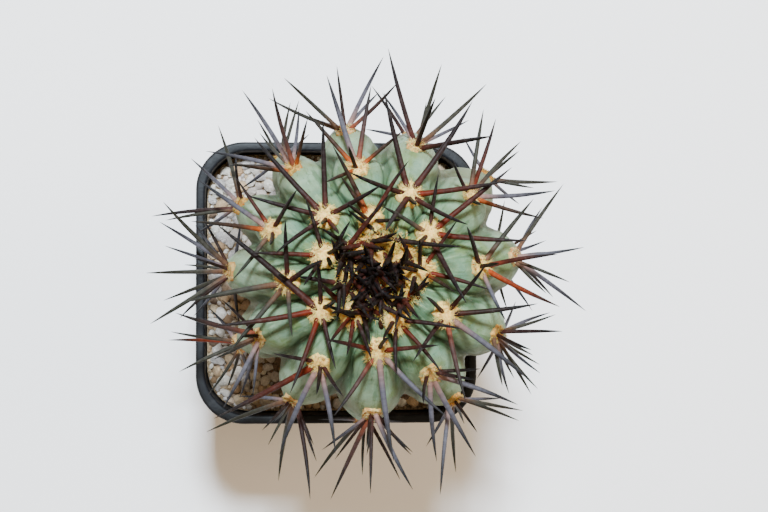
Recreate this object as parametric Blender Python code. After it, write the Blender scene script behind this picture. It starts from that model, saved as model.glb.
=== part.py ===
"""A copiapoa cactus in a small square pot.

Lengths are in metres and angles in degrees, +Z is up, and the origin is the centre of
the pot's underside. The pot's sides lie along X and Y. The cactus stands a little off
the pot's centre, as it grew. Its ribs are named A to L, counted round from +X.
"""
import math
import random

import bmesh
import bpy
from mathutils import Vector

# Pot: a square nursery pot, moulded in black plastic
POT_WIDTH = 0.070
POT_HEIGHT = 0.065
POT_BASE_WIDTH = 0.053
POT_CORNER = 0.012
POT_WALL = 0.0013
POT_FLOOR = 0.0016
LIP_WIDTH = 0.0022
LIP_HEIGHT = 0.0090
LIP_STEP = 0.0010
EDGE_ROUNDING = 0.0006
CORNER_STEPS = 6
DRAIN_RADIUS = 0.0028
DRAIN_OFFSET = 0.0155
DRAIN_SIDES = 12

# Soil: gritty mix, filled to a little under the rim
SOIL_BELOW_RIM = 0.0078
SOIL_GAP = 0.0003
SOIL_ROUGHNESS = 0.0006
SOIL_COLUMNS = 48
SOIL_RINGS = 7

# Stem: a ribbed globe on a narrower neck that goes down into the soil
PLANT_X = 0.0069
PLANT_Y = 0.0023
EQUATOR_HEIGHT = 0.0910
FURROW_RADIUS = 0.0310
RIB_HEIGHT = 0.0046
CROWN_RISE = 0.0285
BELLY_DROP = 0.0330
NECK_RADIUS = 0.0145
NECK_DEPTH = 0.0210
NECK_TIP_RADIUS = 0.0085
RELIEF_FADE = (122, 146)
COLUMNS_PER_RIB = 6
ROWS_PER_STEP = 4
ROW_COUNT = 18
FIRST_ROW_AGE = 0.2
NOTCH_SHARE = 0.28
RIB_BOWS = (2.5, 1.4)
FURROW_DEEPENING = 0.30
SHARPENING = (35, 70)
CHIN_SHIFT = 0.12

# Ribs: compass angle and angle from the crown of each areole that shows from above
RIBS = {
    "A": ((5, 16), (4, 42), (7, 65)),
    "B": ((40, 25), (40, 52)),
    "C": ((70, 34), (73, 60)),
    "D": ((101, 22), (102, 45), (102, 72)),
    "E": ((134, 32), (129, 61)),
    "F": ((162, 24), (158, 49), (153, 79)),
    "G": ((185, 38), (179, 71)),
    "H": ((211, 28), (208, 61)),
    "I": ((235, 19), (236, 45), (237, 78)),
    "J": ((268, 31), (268, 64)),
    "K": ((288, 19), (297, 47), (302, 75)),
    "L": ((328, 31), (333, 60)),
}
RIB_NAMES = list(RIBS)

# An areole lies at STEP * age + GROWTH * age * age degrees from the crown, and the next
# one down its rib is about 1 older
AREOLE_STEP = 11.6
AREOLE_GROWTH = 4.35
YOUNGEST_AGE = 0.6
LOWEST_AREOLE = 119

# Areoles: woolly pads on the tubercles
PAD_LENGTH = 0.0035
PAD_WIDTH = 0.0030
PAD_RISE = 0.0009
PAD_SINK = 0.0012
PAD_SIDES = 6
PAD_FLARE = 0.16
PAD_YOUNG_SHARE = 0.62
PAD_OLD_SHARE = 0.74
PAD_SHRINK = (30, 62)

# Spines
SPINE_SIDES = 3
SPINE_ROOT = 0.0016
SPINE_RING = 0.0022
SPINE_THIN = 0.00030
SPINE_STOUTNESS = 0.022
SPINE_SHOULDER = 0.58
SHOULDER_SHARE = 0.80
SPINE_BEND = 0.035
PLAIN_SPINE = 0.0125
RADIAL_LEAN = 62
CENTRAL_LEAN = 18
SIDE_ANGLE = 55
SIDE_LEANS = (62, 16, -26)
SHORTEST_SPINE = 0.0110
LONGEST_SPINE = 0.0245
STEEPEST_RISE = 84
STEEPEST_FALL = 38
POT_CLEARANCE = 0.0012

# Spines that stand out from above, by rib and areole: heading in plan, reach in mm
SEEN_SPINES = {
    "A1": ((56, 11), (-16, 13), (-35, 7), (100, 6), (170, 5)),
    "A2": ((52, 17), (119, 9), (9, 16), (-26, 18), (-67, 11), (15, 3)),
    "A3": ((53, 19), (8, 15), (-24, 12), (-34, 20), (-52, 9)),
    "B1": ((82, 11), (39, 21), (-4, 19), (153, 11), (-66, 15), (220, 4)),
    "B2": ((122, 8), (80, 18), (70, 17), (46, 16), (5, 18), (-16, 15), (-65, 2)),
    "B3": ((1, 18), (-14, 9), (42, 8)),
    "C1": ((104, 21), (56, 23), (162, 13), (8, 19), (-30, 12), (231, 10), (-75, 2)),
    "C2": ((103, 22), (74, 18), (75, 10), (42, 21), (5, 14)),
    "C3": ((119, 15), (52, 13)),
    "D1": ((118, 16), (58, 13), (126, 10), (150, 6), (0, 5)),
    "D2": ((80, 17), (40, 11), (131, 15), (205, 7), (118, 5), (107, 20)),
    "D3": ((63, 19), (98, 14), (140, 17), (155, 17), (44, 14)),
    "E1": ((132, 21), (92, 19), (165, 16), (30, 12), (216, 12), (-60, 4), (225, 2)),
    "E2": ((121, 20), (107, 17), (77, 10), (167, 18), (176, 13)),
    "E3": ((81, 14), (74, 14), (120, 10)),
    "F1": ((109, 11), (178, 14), (232, 7), (40, 4)),
    "F2": ((124, 12), (59, 9), (173, 16), (145, 18), (231, 12), (252, 3)),
    "F3": ((106, 18), (186, 19), (99, 9), (136, 15), (190, 16)),
    "G1": ((93, 12), (191, 21), (230, 18), (274, 10), (34, 8), (150, 3)),
    "G2": ((118, 12), (135, 20), (162, 8), (181, 18), (212, 20), (221, 14)),
    "G3": ((148, 21), (161, 17), (173, 11), (201, 18)),
    "H1": ((140, 27), (188, 21), (249, 17), (283, 11), (97, 10), (45, 3)),
    "H2": ((134, 10), (178, 4), (241, 16), (264, 11), (203, 18), (163, 18)),
    "H3": ((180, 16), (172, 15), (236, 13), (252, 10)),
    "I1": ((228, 8), (256, 8), (288, 9), (180, 5)),
    "I2": ((167, 9), (258, 6), (208, 24), (247, 20), (280, 18), (303, 7)),
    "I3": ((261, 19), (278, 21), (289, 13), (204, 20), (241, 11), (223, 9)),
    "J1": ((166, 11), (8, 11), (-44, 18), (235, 15), (-82, 22), (66, 3)),
    "J2": ((248, 21), (268, 17), (295, 17), (235, 12), (310, 11), (256, 7)),
    "J3": ((235, 18), (298, 16), (266, 12)),
    "K1": ((-50, 13), (-91, 10), (-8, 12), (230, 5)),
    "K2": ((-8, 8), (6, 9), (-20, 19), (-84, 18), (-60, 20), (253, 6)),
    "K3": ((-12, 16), (-20, 14), (-57, 8), (-82, 17), (-99, 20)),
    "L1": ((7, 18), (-38, 21), (-78, 17), (230, 11), (143, 6), (55, 12)),
    "L2": ((16, 13), (2, 13), (-26, 7), (-56, 15), (-41, 12), (-92, 10)),
    "L3": ((-60, 10), (-30, 12), (-50, 14)),
}

# The rule for every other areole: clock angle from straight down the rib, length in mm
RULED_RADIALS = ((0, 19), (42, 18), (-44, 18), (92, 14), (-90, 15), (165, 10))
RULED_CENTRAL = 19
CLOCK_JITTER = 9
LENGTH_JITTER = 0.14
LEAN_JITTER = 6
SKIRT_RADIALS = ((-38, 15), (0, 14), (38, 15))
SKIRT_LEAN = 78

# Spines of the crown: foot right of and above its middle, heading in plan, reach in mm
CROWN_SPINES = (
    (-8.4, 4.1, 53, 16), (-6.9, 5.9, 150, 7.5), (-10.6, 3.0, 64, 9.5), (0.7, 7.8, 145, 10.5),
    (-9.0, 1.3, 109, 7), (1.8, 7.4, -7, 15), (6.8, 1.8, 120, 8), (3.9, 3.1, -26, 6.3),
    (5.0, -6.9, 55, 9), (1.3, 2.6, 78, 5), (-2.1, 2.6, 125, 4.5), (7.6, -4.7, 114, 4),
    (3.5, -4.1, -54, 7), (-0.8, -6.3, -27, 8), (2.9, -5.0, -59, 5.6), (-4.7, -8.0, 174, 4),
    (-8.8, -0.8, 265, 9.6), (-6.9, -3.4, -56, 7), (-9.9, -1.7, 171, 8.5), (-10.6, 1.8, 125, 2.5),
    (-8.0, -2.1, 204, 4), (0.5, -4.1, 221, 5), (-4.3, -7.3, -79, 8), (-5.6, 2.4, 25, 3),
    (-3.0, 1.0, 30, 3), (-1.4, -1.3, 200, 3), (3.4, 0.6, 100, 2), (0.9, 1.6, 305, 3),
    (-5.0, 0.0, 20, 4), (5.0, -1.0, 160, 4), (2.0, 4.0, 230, 3), (-3.0, -4.0, 80, 4),
)
CROWN_LENGTH = 0.0100
CROWN_STRETCH = 1.12
SEED = 21

COLOURS = {
    "pot": ((0.012, 0.013, 0.015, 1.0), 0.42),
    "soil": ((0.36, 0.29, 0.22, 1.0), 0.95),
    "cactus": ((0.30, 0.40, 0.29, 1.0), 0.62),
}


def clear_scene():
    """Empty the file, so that only the part is in it."""
    for thing in list(bpy.data.objects):
        bpy.data.objects.remove(thing, do_unlink=True)


def plain_material(name):
    """A Principled material in the piece's own colour."""
    colour, roughness = COLOURS[name]
    material = bpy.data.materials.new(name)
    material.use_nodes = True
    shader = material.node_tree.nodes["Principled BSDF"]
    shader.inputs["Base Color"].default_value = colour
    shader.inputs["Roughness"].default_value = roughness
    shader.inputs["Metallic"].default_value = 0.0
    return material


def object_from_mesh(name, bm):
    """Turn a bmesh into an object with its faces pointing out."""
    bmesh.ops.recalc_face_normals(bm, faces=bm.faces)
    mesh = bpy.data.meshes.new(name)
    bm.to_mesh(mesh)
    bm.free()
    thing = bpy.data.objects.new(name, mesh)
    bpy.context.scene.collection.objects.link(thing)
    return thing


def skin(bm, loops):
    """Join closed loops of points in order, and close both ends with a fan."""
    rings = [[bm.verts.new(point) for point in loop] for loop in loops]
    for lower, upper in zip(rings, rings[1:]):
        count = len(lower)
        for i in range(count):
            j = (i + 1) % count
            bm.faces.new((lower[i], lower[j], upper[j], upper[i]))
    for ring in (rings[0], rings[-1]):
        centre = sum((vert.co for vert in ring), Vector()) / len(ring)
        middle = bm.verts.new(centre)
        for i, vert in enumerate(ring):
            bm.faces.new((vert, ring[(i + 1) % len(ring)], middle))


def smooth_step(value, low, high):
    """Rise from 0 to 1 as value goes from low to high, with soft ends."""
    share = min(max((value - low) / (high - low), 0.0), 1.0)
    return share * share * (3 - 2 * share)


# Pot

def rounded_square(width, corner, z, steps=CORNER_STEPS):
    """A square loop with round corners, counterclockwise at height z."""
    reach = width / 2 - corner
    points = []
    for quarter in range(4):
        middle = math.radians(45 + 90 * quarter)
        centre_x = reach * math.copysign(1, math.cos(middle))
        centre_y = reach * math.copysign(1, math.sin(middle))
        for step in range(steps + 1):
            angle = math.radians(90 * quarter + 90 * step / steps)
            points.append(Vector((centre_x + corner * math.cos(angle),
                                  centre_y + corner * math.sin(angle), z)))
    return points


def wall_width(z):
    """Outer width of the tapered wall at height z, under the lip."""
    top = POT_WIDTH - 2 * LIP_STEP
    return POT_BASE_WIDTH + (top - POT_BASE_WIDTH) * z / (POT_HEIGHT - LIP_HEIGHT)


def wall_corner(width):
    """Corner radius that shrinks with the wall's width."""
    return POT_CORNER * width / POT_WIDTH


def inner_width(z):
    """Width of the pot's inside at height z."""
    return wall_width(min(z, POT_HEIGHT - LIP_HEIGHT)) - 2 * POT_WALL


def make_pot():
    """The pot's shell with its lip, floor and four drain holes."""
    under_lip = POT_HEIGHT - LIP_HEIGHT
    lip_inside = POT_WIDTH - 2 * LIP_WIDTH
    profile = [
        (wall_width(0) - 2 * EDGE_ROUNDING, 0.0),
        (wall_width(0), EDGE_ROUNDING),
        (wall_width(under_lip), under_lip),
        (POT_WIDTH, under_lip + LIP_STEP / 2),
        (POT_WIDTH, POT_HEIGHT - EDGE_ROUNDING),
        (POT_WIDTH - 2 * EDGE_ROUNDING, POT_HEIGHT),
        (lip_inside + 2 * EDGE_ROUNDING, POT_HEIGHT),
        (lip_inside, POT_HEIGHT - EDGE_ROUNDING),
        (inner_width(under_lip), under_lip - LIP_STEP),
        (inner_width(POT_FLOOR), POT_FLOOR),
    ]
    loops = [rounded_square(width, wall_corner(width), z) for width, z in profile]
    bm = bmesh.new()
    skin(bm, loops)
    pot = object_from_mesh("pot", bm)
    for i in range(4):
        side_x = DRAIN_OFFSET * (1 if i % 2 else -1)
        side_y = DRAIN_OFFSET * (1 if i // 2 else -1)
        add_drain(pot, side_x, side_y)
    pot.data.materials.append(plain_material("pot"))
    return pot


def add_drain(pot, x, y):
    """Cut one round drain hole through the pot's floor."""
    bm = bmesh.new()
    bmesh.ops.create_cone(bm, cap_ends=True, segments=DRAIN_SIDES, radius1=DRAIN_RADIUS,
                          radius2=DRAIN_RADIUS, depth=4 * POT_FLOOR)
    cutter = object_from_mesh("drain_cutter", bm)
    cutter.location = (x, y, POT_FLOOR / 2)
    cutter.hide_render = True
    cutter.display_type = "WIRE"
    cut = pot.modifiers.new("drain", "BOOLEAN")
    cut.operation = "DIFFERENCE"
    cut.solver = "EXACT"
    cut.object = cutter


# Soil

def neck_profile():
    """Radius and height of the neck's loops, from the belly down to its blunt end."""
    soil_top = POT_HEIGHT - SOIL_BELOW_RIM
    end = soil_top - NECK_DEPTH
    return [
        (NECK_RADIUS, soil_top + 0.0016),
        (NECK_RADIUS, soil_top - 0.0014),
        (NECK_RADIUS * 0.94, soil_top - NECK_DEPTH * 0.45),
        (NECK_TIP_RADIUS, end + 0.0025),
        (NECK_TIP_RADIUS * 0.70, end),
    ]


def circle(radius, z, count, start=0.0):
    """A loop of points round the plant's axis."""
    return [Vector((PLANT_X + radius * math.cos(start + math.tau * i / count),
                    PLANT_Y + radius * math.sin(start + math.tau * i / count), z))
            for i in range(count)]


def square_edge(width, z, count):
    """Points where rays from the plant's axis meet a rounded square."""
    corner = wall_corner(width)
    reach = width / 2 - corner
    points = []
    for i in range(count):
        angle = math.tau * i / count
        ray = Vector((math.cos(angle), math.sin(angle), 0))
        near, far = 0.0, width
        for _ in range(40):
            middle = (near + far) / 2
            x = abs(PLANT_X + ray.x * middle)
            y = abs(PLANT_Y + ray.y * middle)
            outside = math.hypot(max(x - reach, 0), max(y - reach, 0)) - corner
            if outside > 0:
                far = middle
            else:
                near = middle
        points.append(Vector((PLANT_X + ray.x * near, PLANT_Y + ray.y * near, z)))
    return points


def make_soil():
    """The soil that fills the pot, with a plain hole for the cactus's neck."""
    draw = random.Random(SEED + 1)
    top = POT_HEIGHT - SOIL_BELOW_RIM
    bottom = POT_FLOOR + SOIL_GAP
    hole = [(radius + SOIL_GAP, z) for radius, z in neck_profile()[1:-1]]
    hole.append((NECK_TIP_RADIUS * 0.70 + SOIL_GAP, neck_profile()[-1][1] - SOIL_GAP))
    loops = [circle(radius, z, SOIL_COLUMNS) for radius, z in reversed(hole)]
    inner = circle(NECK_RADIUS + SOIL_GAP, top - 0.0004, SOIL_COLUMNS)
    outer = square_edge(inner_width(top) - 2 * SOIL_GAP, top, SOIL_COLUMNS)
    loops.append(inner)
    for ring in range(1, SOIL_RINGS):
        share = ring / SOIL_RINGS
        loop = [a.lerp(b, share) for a, b in zip(inner, outer)]
        for point in loop:
            point.z = top + draw.uniform(-1, 1) * SOIL_ROUGHNESS
        loops.append(loop)
    loops.append(outer)
    floor_width = inner_width(bottom) - 2 * SOIL_GAP
    loops.append(square_edge(floor_width, bottom, SOIL_COLUMNS))
    bm = bmesh.new()
    skin(bm, loops)
    soil = object_from_mesh("soil", bm)
    soil.data.materials.append(plain_material("soil"))
    return soil


# Cactus stem

def polar_angle(age):
    """Angle from the crown, in degrees, of an areole of this age."""
    return AREOLE_STEP * age + AREOLE_GROWTH * age * age


def age_at(angle):
    """Age of the stem at an angle from the crown: the reverse of polar_angle."""
    root = math.sqrt(AREOLE_STEP ** 2 + 4 * AREOLE_GROWTH * angle)
    return (root - AREOLE_STEP) / (2 * AREOLE_GROWTH)


def turn_between(a, b):
    """Smallest turn from compass angle b to a, from -180 to 180."""
    return (a - b + 180) % 360 - 180


def rib_course(rib):
    """Number, age and compass angle at every areole of a rib, hidden ones too.

    The first areole that shows has number 1. Those that don't show follow the rule.
    """
    seen = [(age_at(angle), azimuth) for azimuth, angle in RIBS[rib]]
    first_age, first_azimuth = seen[0]
    last_azimuth = seen[-1][1]
    young = [(k, first_age + k - 1, first_azimuth) for k in (-1, 0)]
    shown = [(k + 1, age, azimuth) for k, (age, azimuth) in enumerate(seen)]
    hidden = [(k, first_age + k - 1, last_azimuth) for k in range(len(seen) + 1, 8)]
    return young + shown + hidden


COURSES = [rib_course(rib) for rib in RIB_NAMES]


def follow(course, value, given, wanted):
    """Read one column of a rib's course where another column has this value."""
    for lower, upper in zip(course, course[1:]):
        if value <= upper[given] or upper is course[-1]:
            share = (value - lower[given]) / (upper[given] - lower[given])
            return lower[wanted] + (upper[wanted] - lower[wanted]) * share


def rib_centre(i, age):
    """Compass angle of a rib's crest at an age."""
    return follow(COURSES[i % len(COURSES)], age, 1, 2)


def half_space(i, j, age):
    """Half the turn from rib i to its neighbour j, at an age."""
    return abs(turn_between(rib_centre(j, age), rib_centre(i, age))) / 2


def tubercle_relief(angle, azimuth):
    """How far the surface stands out there: 0 in a furrow, 1 on top of a tubercle."""
    age = age_at(angle)
    sharp = smooth_step(angle, *SHARPENING)
    bow = RIB_BOWS[0] + (RIB_BOWS[1] - RIB_BOWS[0]) * sharp
    best = 0.0
    for i, course in enumerate(COURSES):
        turn = turn_between(azimuth, rib_centre(i, age))
        if abs(turn) > 40:
            continue
        across = turn / half_space(i, i + 1 if turn > 0 else i - 1, age)
        number = follow(course, age, 1, 0)
        along = 2 * (number - round(number)) - CHIN_SHIFT
        best = max(best, 1 - abs(across) ** bow - NOTCH_SHARE * abs(along) ** 2.2)
    return best - FURROW_DEEPENING * sharp * (1 - best)


def stem_normal(angle, azimuth):
    """Outward normal of the stem's smooth globe."""
    t, turn = math.radians(angle), math.radians(azimuth)
    rise = CROWN_RISE if angle <= 90 else BELLY_DROP
    side = math.sin(t) / FURROW_RADIUS
    return Vector((side * math.cos(turn), side * math.sin(turn), math.cos(t) / rise)).normalized()


def stem_point(angle, azimuth, relief):
    """A point of the stem, for a relief from 0 to 1."""
    t, turn = math.radians(angle), math.radians(azimuth)
    rise = CROWN_RISE if angle <= 90 else BELLY_DROP
    flat = FURROW_RADIUS * math.sin(t)
    point = Vector((PLANT_X + flat * math.cos(turn), PLANT_Y + flat * math.sin(turn),
                    EQUATOR_HEIGHT + rise * math.cos(t)))
    height = RIB_HEIGHT * max(math.sin(t), 0.12) * (1 - smooth_step(angle, *RELIEF_FADE))
    return point + stem_normal(angle, azimuth) * height * relief


def row_age(i, row):
    """Age at a mesh row on a rib, which has one row through each of its areoles."""
    course = COURSES[i % len(COURSES)]
    first_row = round((course[2][1] - FIRST_ROW_AGE) * ROWS_PER_STEP)
    return follow(course, 1 + (row - first_row) / ROWS_PER_STEP, 0, 1)


def mesh_place(row, i, share):
    """Angle from the crown and compass angle of a mesh point beside a rib.

    The share runs from -1 to 1 across the rib, and the rows are bent so that every rib
    has one through its areoles and one through the notches between them.
    """
    j = i + 1 if share > 0 else i - 1
    own, other = row_age(i, row), row_age(j, row)
    age = own + (other - own) * abs(share) / 2
    return polar_angle(age), rib_centre(i, age) + share * half_space(i, j, age)


def make_stem():
    """The stem alone: crown, ribs with their tubercles, belly and neck."""
    half = COLUMNS_PER_RIB // 2
    columns = [(i, k / half) for i in range(len(COURSES)) for k in range(-half, half)]
    loops = []
    for row in range(ROW_COUNT):
        places = [mesh_place(row, i, share) for i, share in columns]
        loops.append([stem_point(angle, azimuth, tubercle_relief(angle, azimuth))
                      for angle, azimuth in places])
    turns = [math.radians(azimuth) for _, azimuth in places]
    for radius, z in neck_profile():
        loops.append([Vector((PLANT_X + radius * math.cos(turn),
                              PLANT_Y + radius * math.sin(turn), z)) for turn in turns])
    bm = bmesh.new()
    skin(bm, loops)
    return object_from_mesh("cactus", bm)


# Areoles and spines

class Areole:
    """One woolly pad, with its place and its own frame on the stem."""

    def __init__(self, rib, number, age, azimuth):
        angle = polar_angle(age)
        self.name = f"{rib}{number}"
        self.angle = angle
        self.young = number == 0
        self.azimuth = azimuth
        self.place = stem_point(angle, azimuth, tubercle_relief(angle, azimuth))
        self.normal = stem_normal(angle, azimuth)
        turn = math.radians(azimuth)
        self.side = Vector((-math.sin(turn), math.cos(turn), 0))
        self.down = self.side.cross(self.normal).normalized()
        worn = min(max((angle - PAD_SHRINK[0]) / (PAD_SHRINK[1] - PAD_SHRINK[0]), 0.0), 1.0)
        self.size = PAD_YOUNG_SHARE if self.young else 1 - (1 - PAD_OLD_SHARE) * worn


def list_areoles():
    """Every areole of the plant, the youngest of each rib first."""
    return [Areole(rib, number, age, azimuth)
            for rib, course in zip(RIB_NAMES, COURSES) for number, age, azimuth in course
            if number >= 0 and age >= YOUNGEST_AGE and polar_angle(age) < LOWEST_AREOLE]


def make_pad(areole):
    """The areole's pad of wool: a low dome, sunk into the stem at its edge."""
    bm = bmesh.new()
    rings = ((-PAD_SINK, 1.0 + PAD_FLARE), (PAD_RISE, 1.0 - PAD_FLARE))
    loops = []
    for lift, share in rings:
        loop = []
        for i in range(PAD_SIDES):
            turn = math.tau * (i + 0.5) / PAD_SIDES
            flat = (areole.down * math.cos(turn) * PAD_LENGTH
                    + areole.side * math.sin(turn) * PAD_WIDTH)
            loop.append(areole.place + flat * share * areole.size
                        + areole.normal * lift)
        loops.append(loop)
    skin(bm, loops)
    return object_from_mesh("pad", bm)


def heading_vector(heading):
    """Level direction of a compass heading."""
    turn = math.radians(heading)
    return Vector((math.cos(turn), math.sin(turn), 0))


def rise_for_lean(areole, heading, lean):
    """How steeply a spine rises if it leans this far down, or up, from the normal."""
    level = areole.normal.dot(heading_vector(heading))
    upright = areole.normal.z
    size = math.hypot(level, upright)
    swing = math.acos(min(math.cos(math.radians(lean)) / size, 1.0))
    return math.degrees(math.atan2(upright, level) - math.copysign(swing, lean))


def seen_spines(areole):
    """Direction and length of the spines listed for this areole."""
    spines = []
    for k, (heading, reach_mm) in enumerate(SEEN_SPINES[areole.name]):
        reach = reach_mm / 1000
        lean = SIDE_LEANS[k % 3] if areole.angle > SIDE_ANGLE else RADIAL_LEAN
        rise = max(rise_for_lean(areole, heading, lean), -STEEPEST_FALL)
        length = reach / max(math.cos(math.radians(rise)), 0.1)
        if length < SHORTEST_SPINE:
            length = SHORTEST_SPINE
            rise = min(math.degrees(math.acos(reach / length)), STEEPEST_RISE)
        if length > LONGEST_SPINE:
            length = max(LONGEST_SPINE, reach)
            rise = math.copysign(math.degrees(math.acos(reach / length)), rise)
        level = math.cos(math.radians(rise))
        direction = heading_vector(heading) * level
        direction.z = math.sin(math.radians(rise))
        spines.append((direction, length))
    if areole.angle > SIDE_ANGLE:
        spines.extend((leaning(areole, clock, SKIRT_LEAN), length_mm / 1000)
                      for clock, length_mm in SKIRT_RADIALS)
    return spines


def leaning(areole, clock, lean):
    """Direction that leans from the normal towards a clock angle on the areole."""
    turn, tilt = math.radians(clock), math.radians(lean)
    flat = areole.down * math.cos(turn) + areole.side * math.sin(turn)
    return areole.normal * math.cos(tilt) + flat * math.sin(tilt)


def ruled_spines(areole, draw):
    """Spines by the general rule: radials round the pad and one central."""
    spin = draw.uniform(-14, 14)
    spines = []
    for clock, length_mm in RULED_RADIALS:
        turn = clock + spin + draw.uniform(-1, 1) * CLOCK_JITTER
        lean = RADIAL_LEAN + draw.uniform(-1, 1) * LEAN_JITTER
        length = length_mm / 1000 * (1 + draw.uniform(-1, 1) * LENGTH_JITTER)
        spines.append((leaning(areole, turn, lean), length))
    length = RULED_CENTRAL / 1000 * (1 + draw.uniform(-1, 1) * LENGTH_JITTER)
    spines.append((leaning(areole, draw.uniform(-30, 30), CENTRAL_LEAN), length))
    return spines


def crown_spines():
    """Root, direction and length of the steep spines that cross over the crown."""
    spines = []
    for right, above, heading, reach_mm in CROWN_SPINES:
        distance = math.hypot(right, above) / 1000
        angle = math.degrees(math.asin(distance / FURROW_RADIUS))
        azimuth = math.degrees(math.atan2(above, right))
        base = stem_point(angle, azimuth, tubercle_relief(angle, azimuth))
        reach = reach_mm / 1000
        length = max(CROWN_LENGTH, reach * CROWN_STRETCH)
        direction = heading_vector(heading) * reach / length
        direction.z = math.sqrt(1 - (reach / length) ** 2)
        spines.append((base, direction, length))
    return spines


def lift_clear(base, direction, length):
    """Raise a spine until it passes over the pot's rim or outside it."""
    keep_out = POT_WIDTH / 2 + POT_CLEARANCE
    level = Vector((direction.x, direction.y, 0)).normalized()
    rise = math.degrees(math.asin(max(-1.0, min(1.0, direction.z))))
    while rise < STEEPEST_RISE:
        tilt = math.radians(rise)
        direction = level * math.cos(tilt) + Vector((0, 0, math.sin(tilt)))
        points = [base + direction * length * step / 12 for step in range(2, 13)]
        low = [p for p in points if p.z < POT_HEIGHT + POT_CLEARANCE
               and max(abs(p.x), abs(p.y)) < keep_out]
        if not low:
            break
        rise += 3
    return direction


def make_spine(base, direction, length):
    """One spine: three-sided, stout to its shoulder, then drawn to a point.

    A short spine is a plain spike without the shoulder.
    """
    radius = SPINE_THIN + SPINE_STOUTNESS * length
    side = direction.cross(Vector((0, 0, 1)))
    if side.length < 0.05:
        side = Vector((1, 0, 0))
    side.normalize()
    over = side.cross(direction).normalized()
    bend = over * length * SPINE_BEND
    stations = [(-SPINE_ROOT, radius, 0.0)]
    if length > PLAIN_SPINE:
        stations.append((length * SPINE_SHOULDER, radius * SHOULDER_SHARE, -0.5))
    bm = bmesh.new()
    rings = []
    for along, size, sag in stations:
        ring = []
        for k in range(SPINE_SIDES):
            turn = math.tau * k / SPINE_SIDES
            offset = (side * math.cos(turn) + over * math.sin(turn)) * size
            ring.append(bm.verts.new(base + direction * along + bend * sag + offset))
        rings.append(ring)
    tip = bm.verts.new(base + direction * length + bend)
    bm.faces.new(rings[0])
    for k in range(SPINE_SIDES):
        j = (k + 1) % SPINE_SIDES
        for lower, upper in zip(rings, rings[1:]):
            bm.faces.new((lower[k], lower[j], upper[j], upper[k]))
        bm.faces.new((rings[-1][k], rings[-1][j], tip))
    return object_from_mesh("spine", bm)


def spines_of(areole, draw):
    """Root, direction and length of each of the areole's spines."""
    if areole.young:
        listed = []
    elif areole.name in SEEN_SPINES:
        listed = seen_spines(areole)
    else:
        listed = ruled_spines(areole, draw)
    spines = []
    for direction, length in listed:
        flat = direction - areole.normal * direction.dot(areole.normal)
        offset = flat * SPINE_RING
        base = areole.place + offset + areole.normal * PAD_RISE * 0.3
        spines.append((base, lift_clear(base, direction, length), length))
    return spines


def keep_largest_body(thing):
    """Drop loose scraps and sealed hollows, and weld what the union left double."""
    bm = bmesh.new()
    bm.from_mesh(thing.data)
    bmesh.ops.remove_doubles(bm, verts=bm.verts, dist=1e-6)
    bmesh.ops.dissolve_degenerate(bm, edges=bm.edges, dist=1e-6)
    unseen = set(bm.verts)
    bodies = []
    while unseen:
        front = [unseen.pop()]
        body = set(front)
        while front:
            for edge in front.pop().link_edges:
                for vert in edge.verts:
                    if vert in unseen:
                        unseen.discard(vert)
                        body.add(vert)
                        front.append(vert)
        bodies.append(body)
    bodies.sort(key=len)
    scraps = [vert for body in bodies[:-1] for vert in body]
    bmesh.ops.delete(bm, geom=scraps, context="VERTS")
    bm.to_mesh(thing.data)
    bm.free()


def fuse(thing, repeats):
    """Join the repeats to the object with one union, and remove their objects."""
    group = bpy.data.collections.new("repeats")
    bpy.context.scene.collection.children.link(group)
    for repeat in repeats:
        bpy.context.scene.collection.objects.unlink(repeat)
        group.objects.link(repeat)
    union = thing.modifiers.new("union", "BOOLEAN")
    union.operation = "UNION"
    union.operand_type = "COLLECTION"
    union.collection = group
    union.solver = "EXACT"
    bpy.context.view_layer.update()
    joined = thing.evaluated_get(bpy.context.evaluated_depsgraph_get())
    mesh = bpy.data.meshes.new_from_object(joined)
    thing.modifiers.clear()
    thing.data = mesh
    for repeat in repeats:
        bpy.data.objects.remove(repeat, do_unlink=True)
    bpy.data.collections.remove(group)
    keep_largest_body(thing)


def make_cactus():
    """The whole cactus as one grown piece: stem, wool pads and spines."""
    draw = random.Random(SEED)
    cactus = make_stem()
    repeats = []
    for areole in list_areoles():
        repeats.append(make_pad(areole))
        repeats.extend(make_spine(*spine) for spine in spines_of(areole, draw))
    repeats.extend(make_spine(*spine) for spine in crown_spines())
    fuse(cactus, repeats)
    cactus.data.materials.clear()
    cactus.data.materials.append(plain_material("cactus"))
    return cactus


clear_scene()
make_pot()
make_soil()
make_cactus()
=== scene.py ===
"""Looks of the potted copiapoa cactus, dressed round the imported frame.

Lengths are in metres and angles in degrees. The stem, areoles and spines follow the same
rules and the same seeded draws as the part's own solids, with finer meshes, and the wool,
the grit and the creases of the skin are added here. A pair of numbers is mostly the low
and the high end of a range.
"""

import math
import random

import bmesh
import bpy
import numpy as np
from mathutils import Matrix, Vector, noise


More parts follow.
